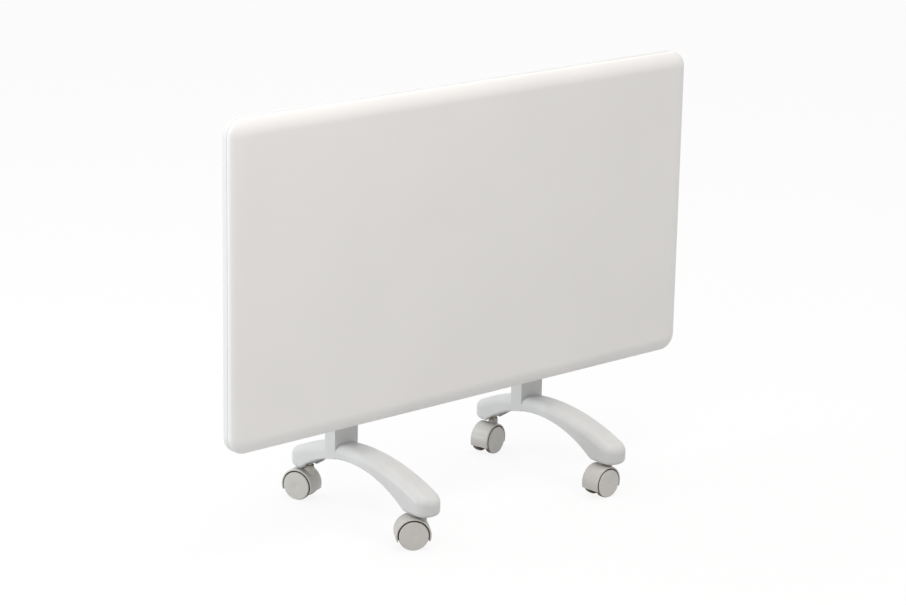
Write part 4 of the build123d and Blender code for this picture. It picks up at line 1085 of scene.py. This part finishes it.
def room(strength):
    """World: even light, seen as white."""
    world = bpy.data.worlds.new("studio_room")
    bpy.context.scene.world = world
    world.use_nodes = True
    tree = Tree(world.node_tree)
    light = tree.nodes["Background"]
    tree.feed(light, {"Color": ROOM_TONE, "Strength": strength})
    white = tree.add("ShaderNodeBackground", {"Color": (1.0, 1.0, 1.0, 1.0), "Strength": 1.0})
    mix = tree.add("ShaderNodeMixShader",
                   {0: seen_directly(tree), 1: light.outputs[0], 2: white})
    tree.feed(tree.nodes["World Output"], {"Surface": mix})


class HEATER_OT_stage(bpy.types.Operator):
    """Floor, room light, lamps and camera"""
    bl_idname = "heater.stage"
    bl_label = "Stage"

    def execute(self, context):
        s = context.scene.heater_stage
        mesh = bpy.data.meshes.new("studio_floor")
        mesh.from_pydata([(x * FLOOR_REACH, y * FLOOR_REACH, 0) for x, y in
                          ((-1, -1), (1, -1), (1, 1), (-1, 1))], [], [(0, 1, 2, 3)])
        mesh.materials.append(floor_surface(s.floor_tone, s.floor_seen, s.floor_white))
        floor = linked("studio_floor", mesh)
        room(s.room_light)
        for name, (place, aim, size, power, colour) in LAMPS.items():
            lamp(name, place, aim, size, getattr(s, power), colour)
        data = bpy.data.cameras.new("photo_camera")
        data.sensor_fit = "HORIZONTAL"
        data.sensor_width = SENSOR_WIDTH
        data.lens = s.lens
        camera = linked("photo_camera", data)
        camera.matrix_world = (Matrix.Translation(Vector(s.stand))
                               @ camera_turn(s.yaw, s.pitch, s.roll))
        context.scene.camera = camera
        context.scene.view_settings.view_transform = "Standard"
        return {"FINISHED"}


# ---- panel in the sidebar

STEPS = ("surfaces", "shell", "castors", "screws", "casing_trim", "control_trim",
         "switch_marks", "stage")


class HEATER_PT_sidebar(bpy.types.Panel):
    """Steps that dress the heater, in order, and their settings"""
    bl_label = "Heater"
    bl_idname = "HEATER_PT_sidebar"
    bl_space_type = "VIEW_3D"
    bl_region_type = "UI"
    bl_category = "Heater"

    def draw(self, context):
        for step in STEPS:
            self.layout.operator("heater." + step)
        for name, kind in SETTINGS.items():
            for key in kind.__annotations__:
                self.layout.prop(getattr(context.scene, name), key)


SETTINGS = {"heater_surfaces": SurfaceSettings, "heater_shell": ShellSettings,
            "heater_castors": CastorSettings, "heater_fixings": FixingSettings,
            "heater_trim": TrimSettings, "heater_stage": StageSettings}
CLASSES = (*SETTINGS.values(), HEATER_OT_surfaces, HEATER_OT_shell, HEATER_OT_castors,
           HEATER_OT_screws, HEATER_OT_casing_trim, HEATER_OT_control_trim,
           HEATER_OT_switch_marks, HEATER_OT_stage, HEATER_PT_sidebar)


def register():
    """Adds the classes and the scene's settings."""
    for kind in CLASSES:
        bpy.utils.register_class(kind)
    for name, kind in SETTINGS.items():
        setattr(bpy.types.Scene, name, bpy.props.PointerProperty(type=kind))


def unregister():
    """Removes them again."""
    for name in SETTINGS:
        delattr(bpy.types.Scene, name)
    for kind in reversed(CLASSES):
        bpy.utils.unregister_class(kind)


def main():
    """Dresses the heater."""
    register()
    for step in STEPS:
        getattr(bpy.ops.heater, step)()


if __name__ == "__main__":
    main()
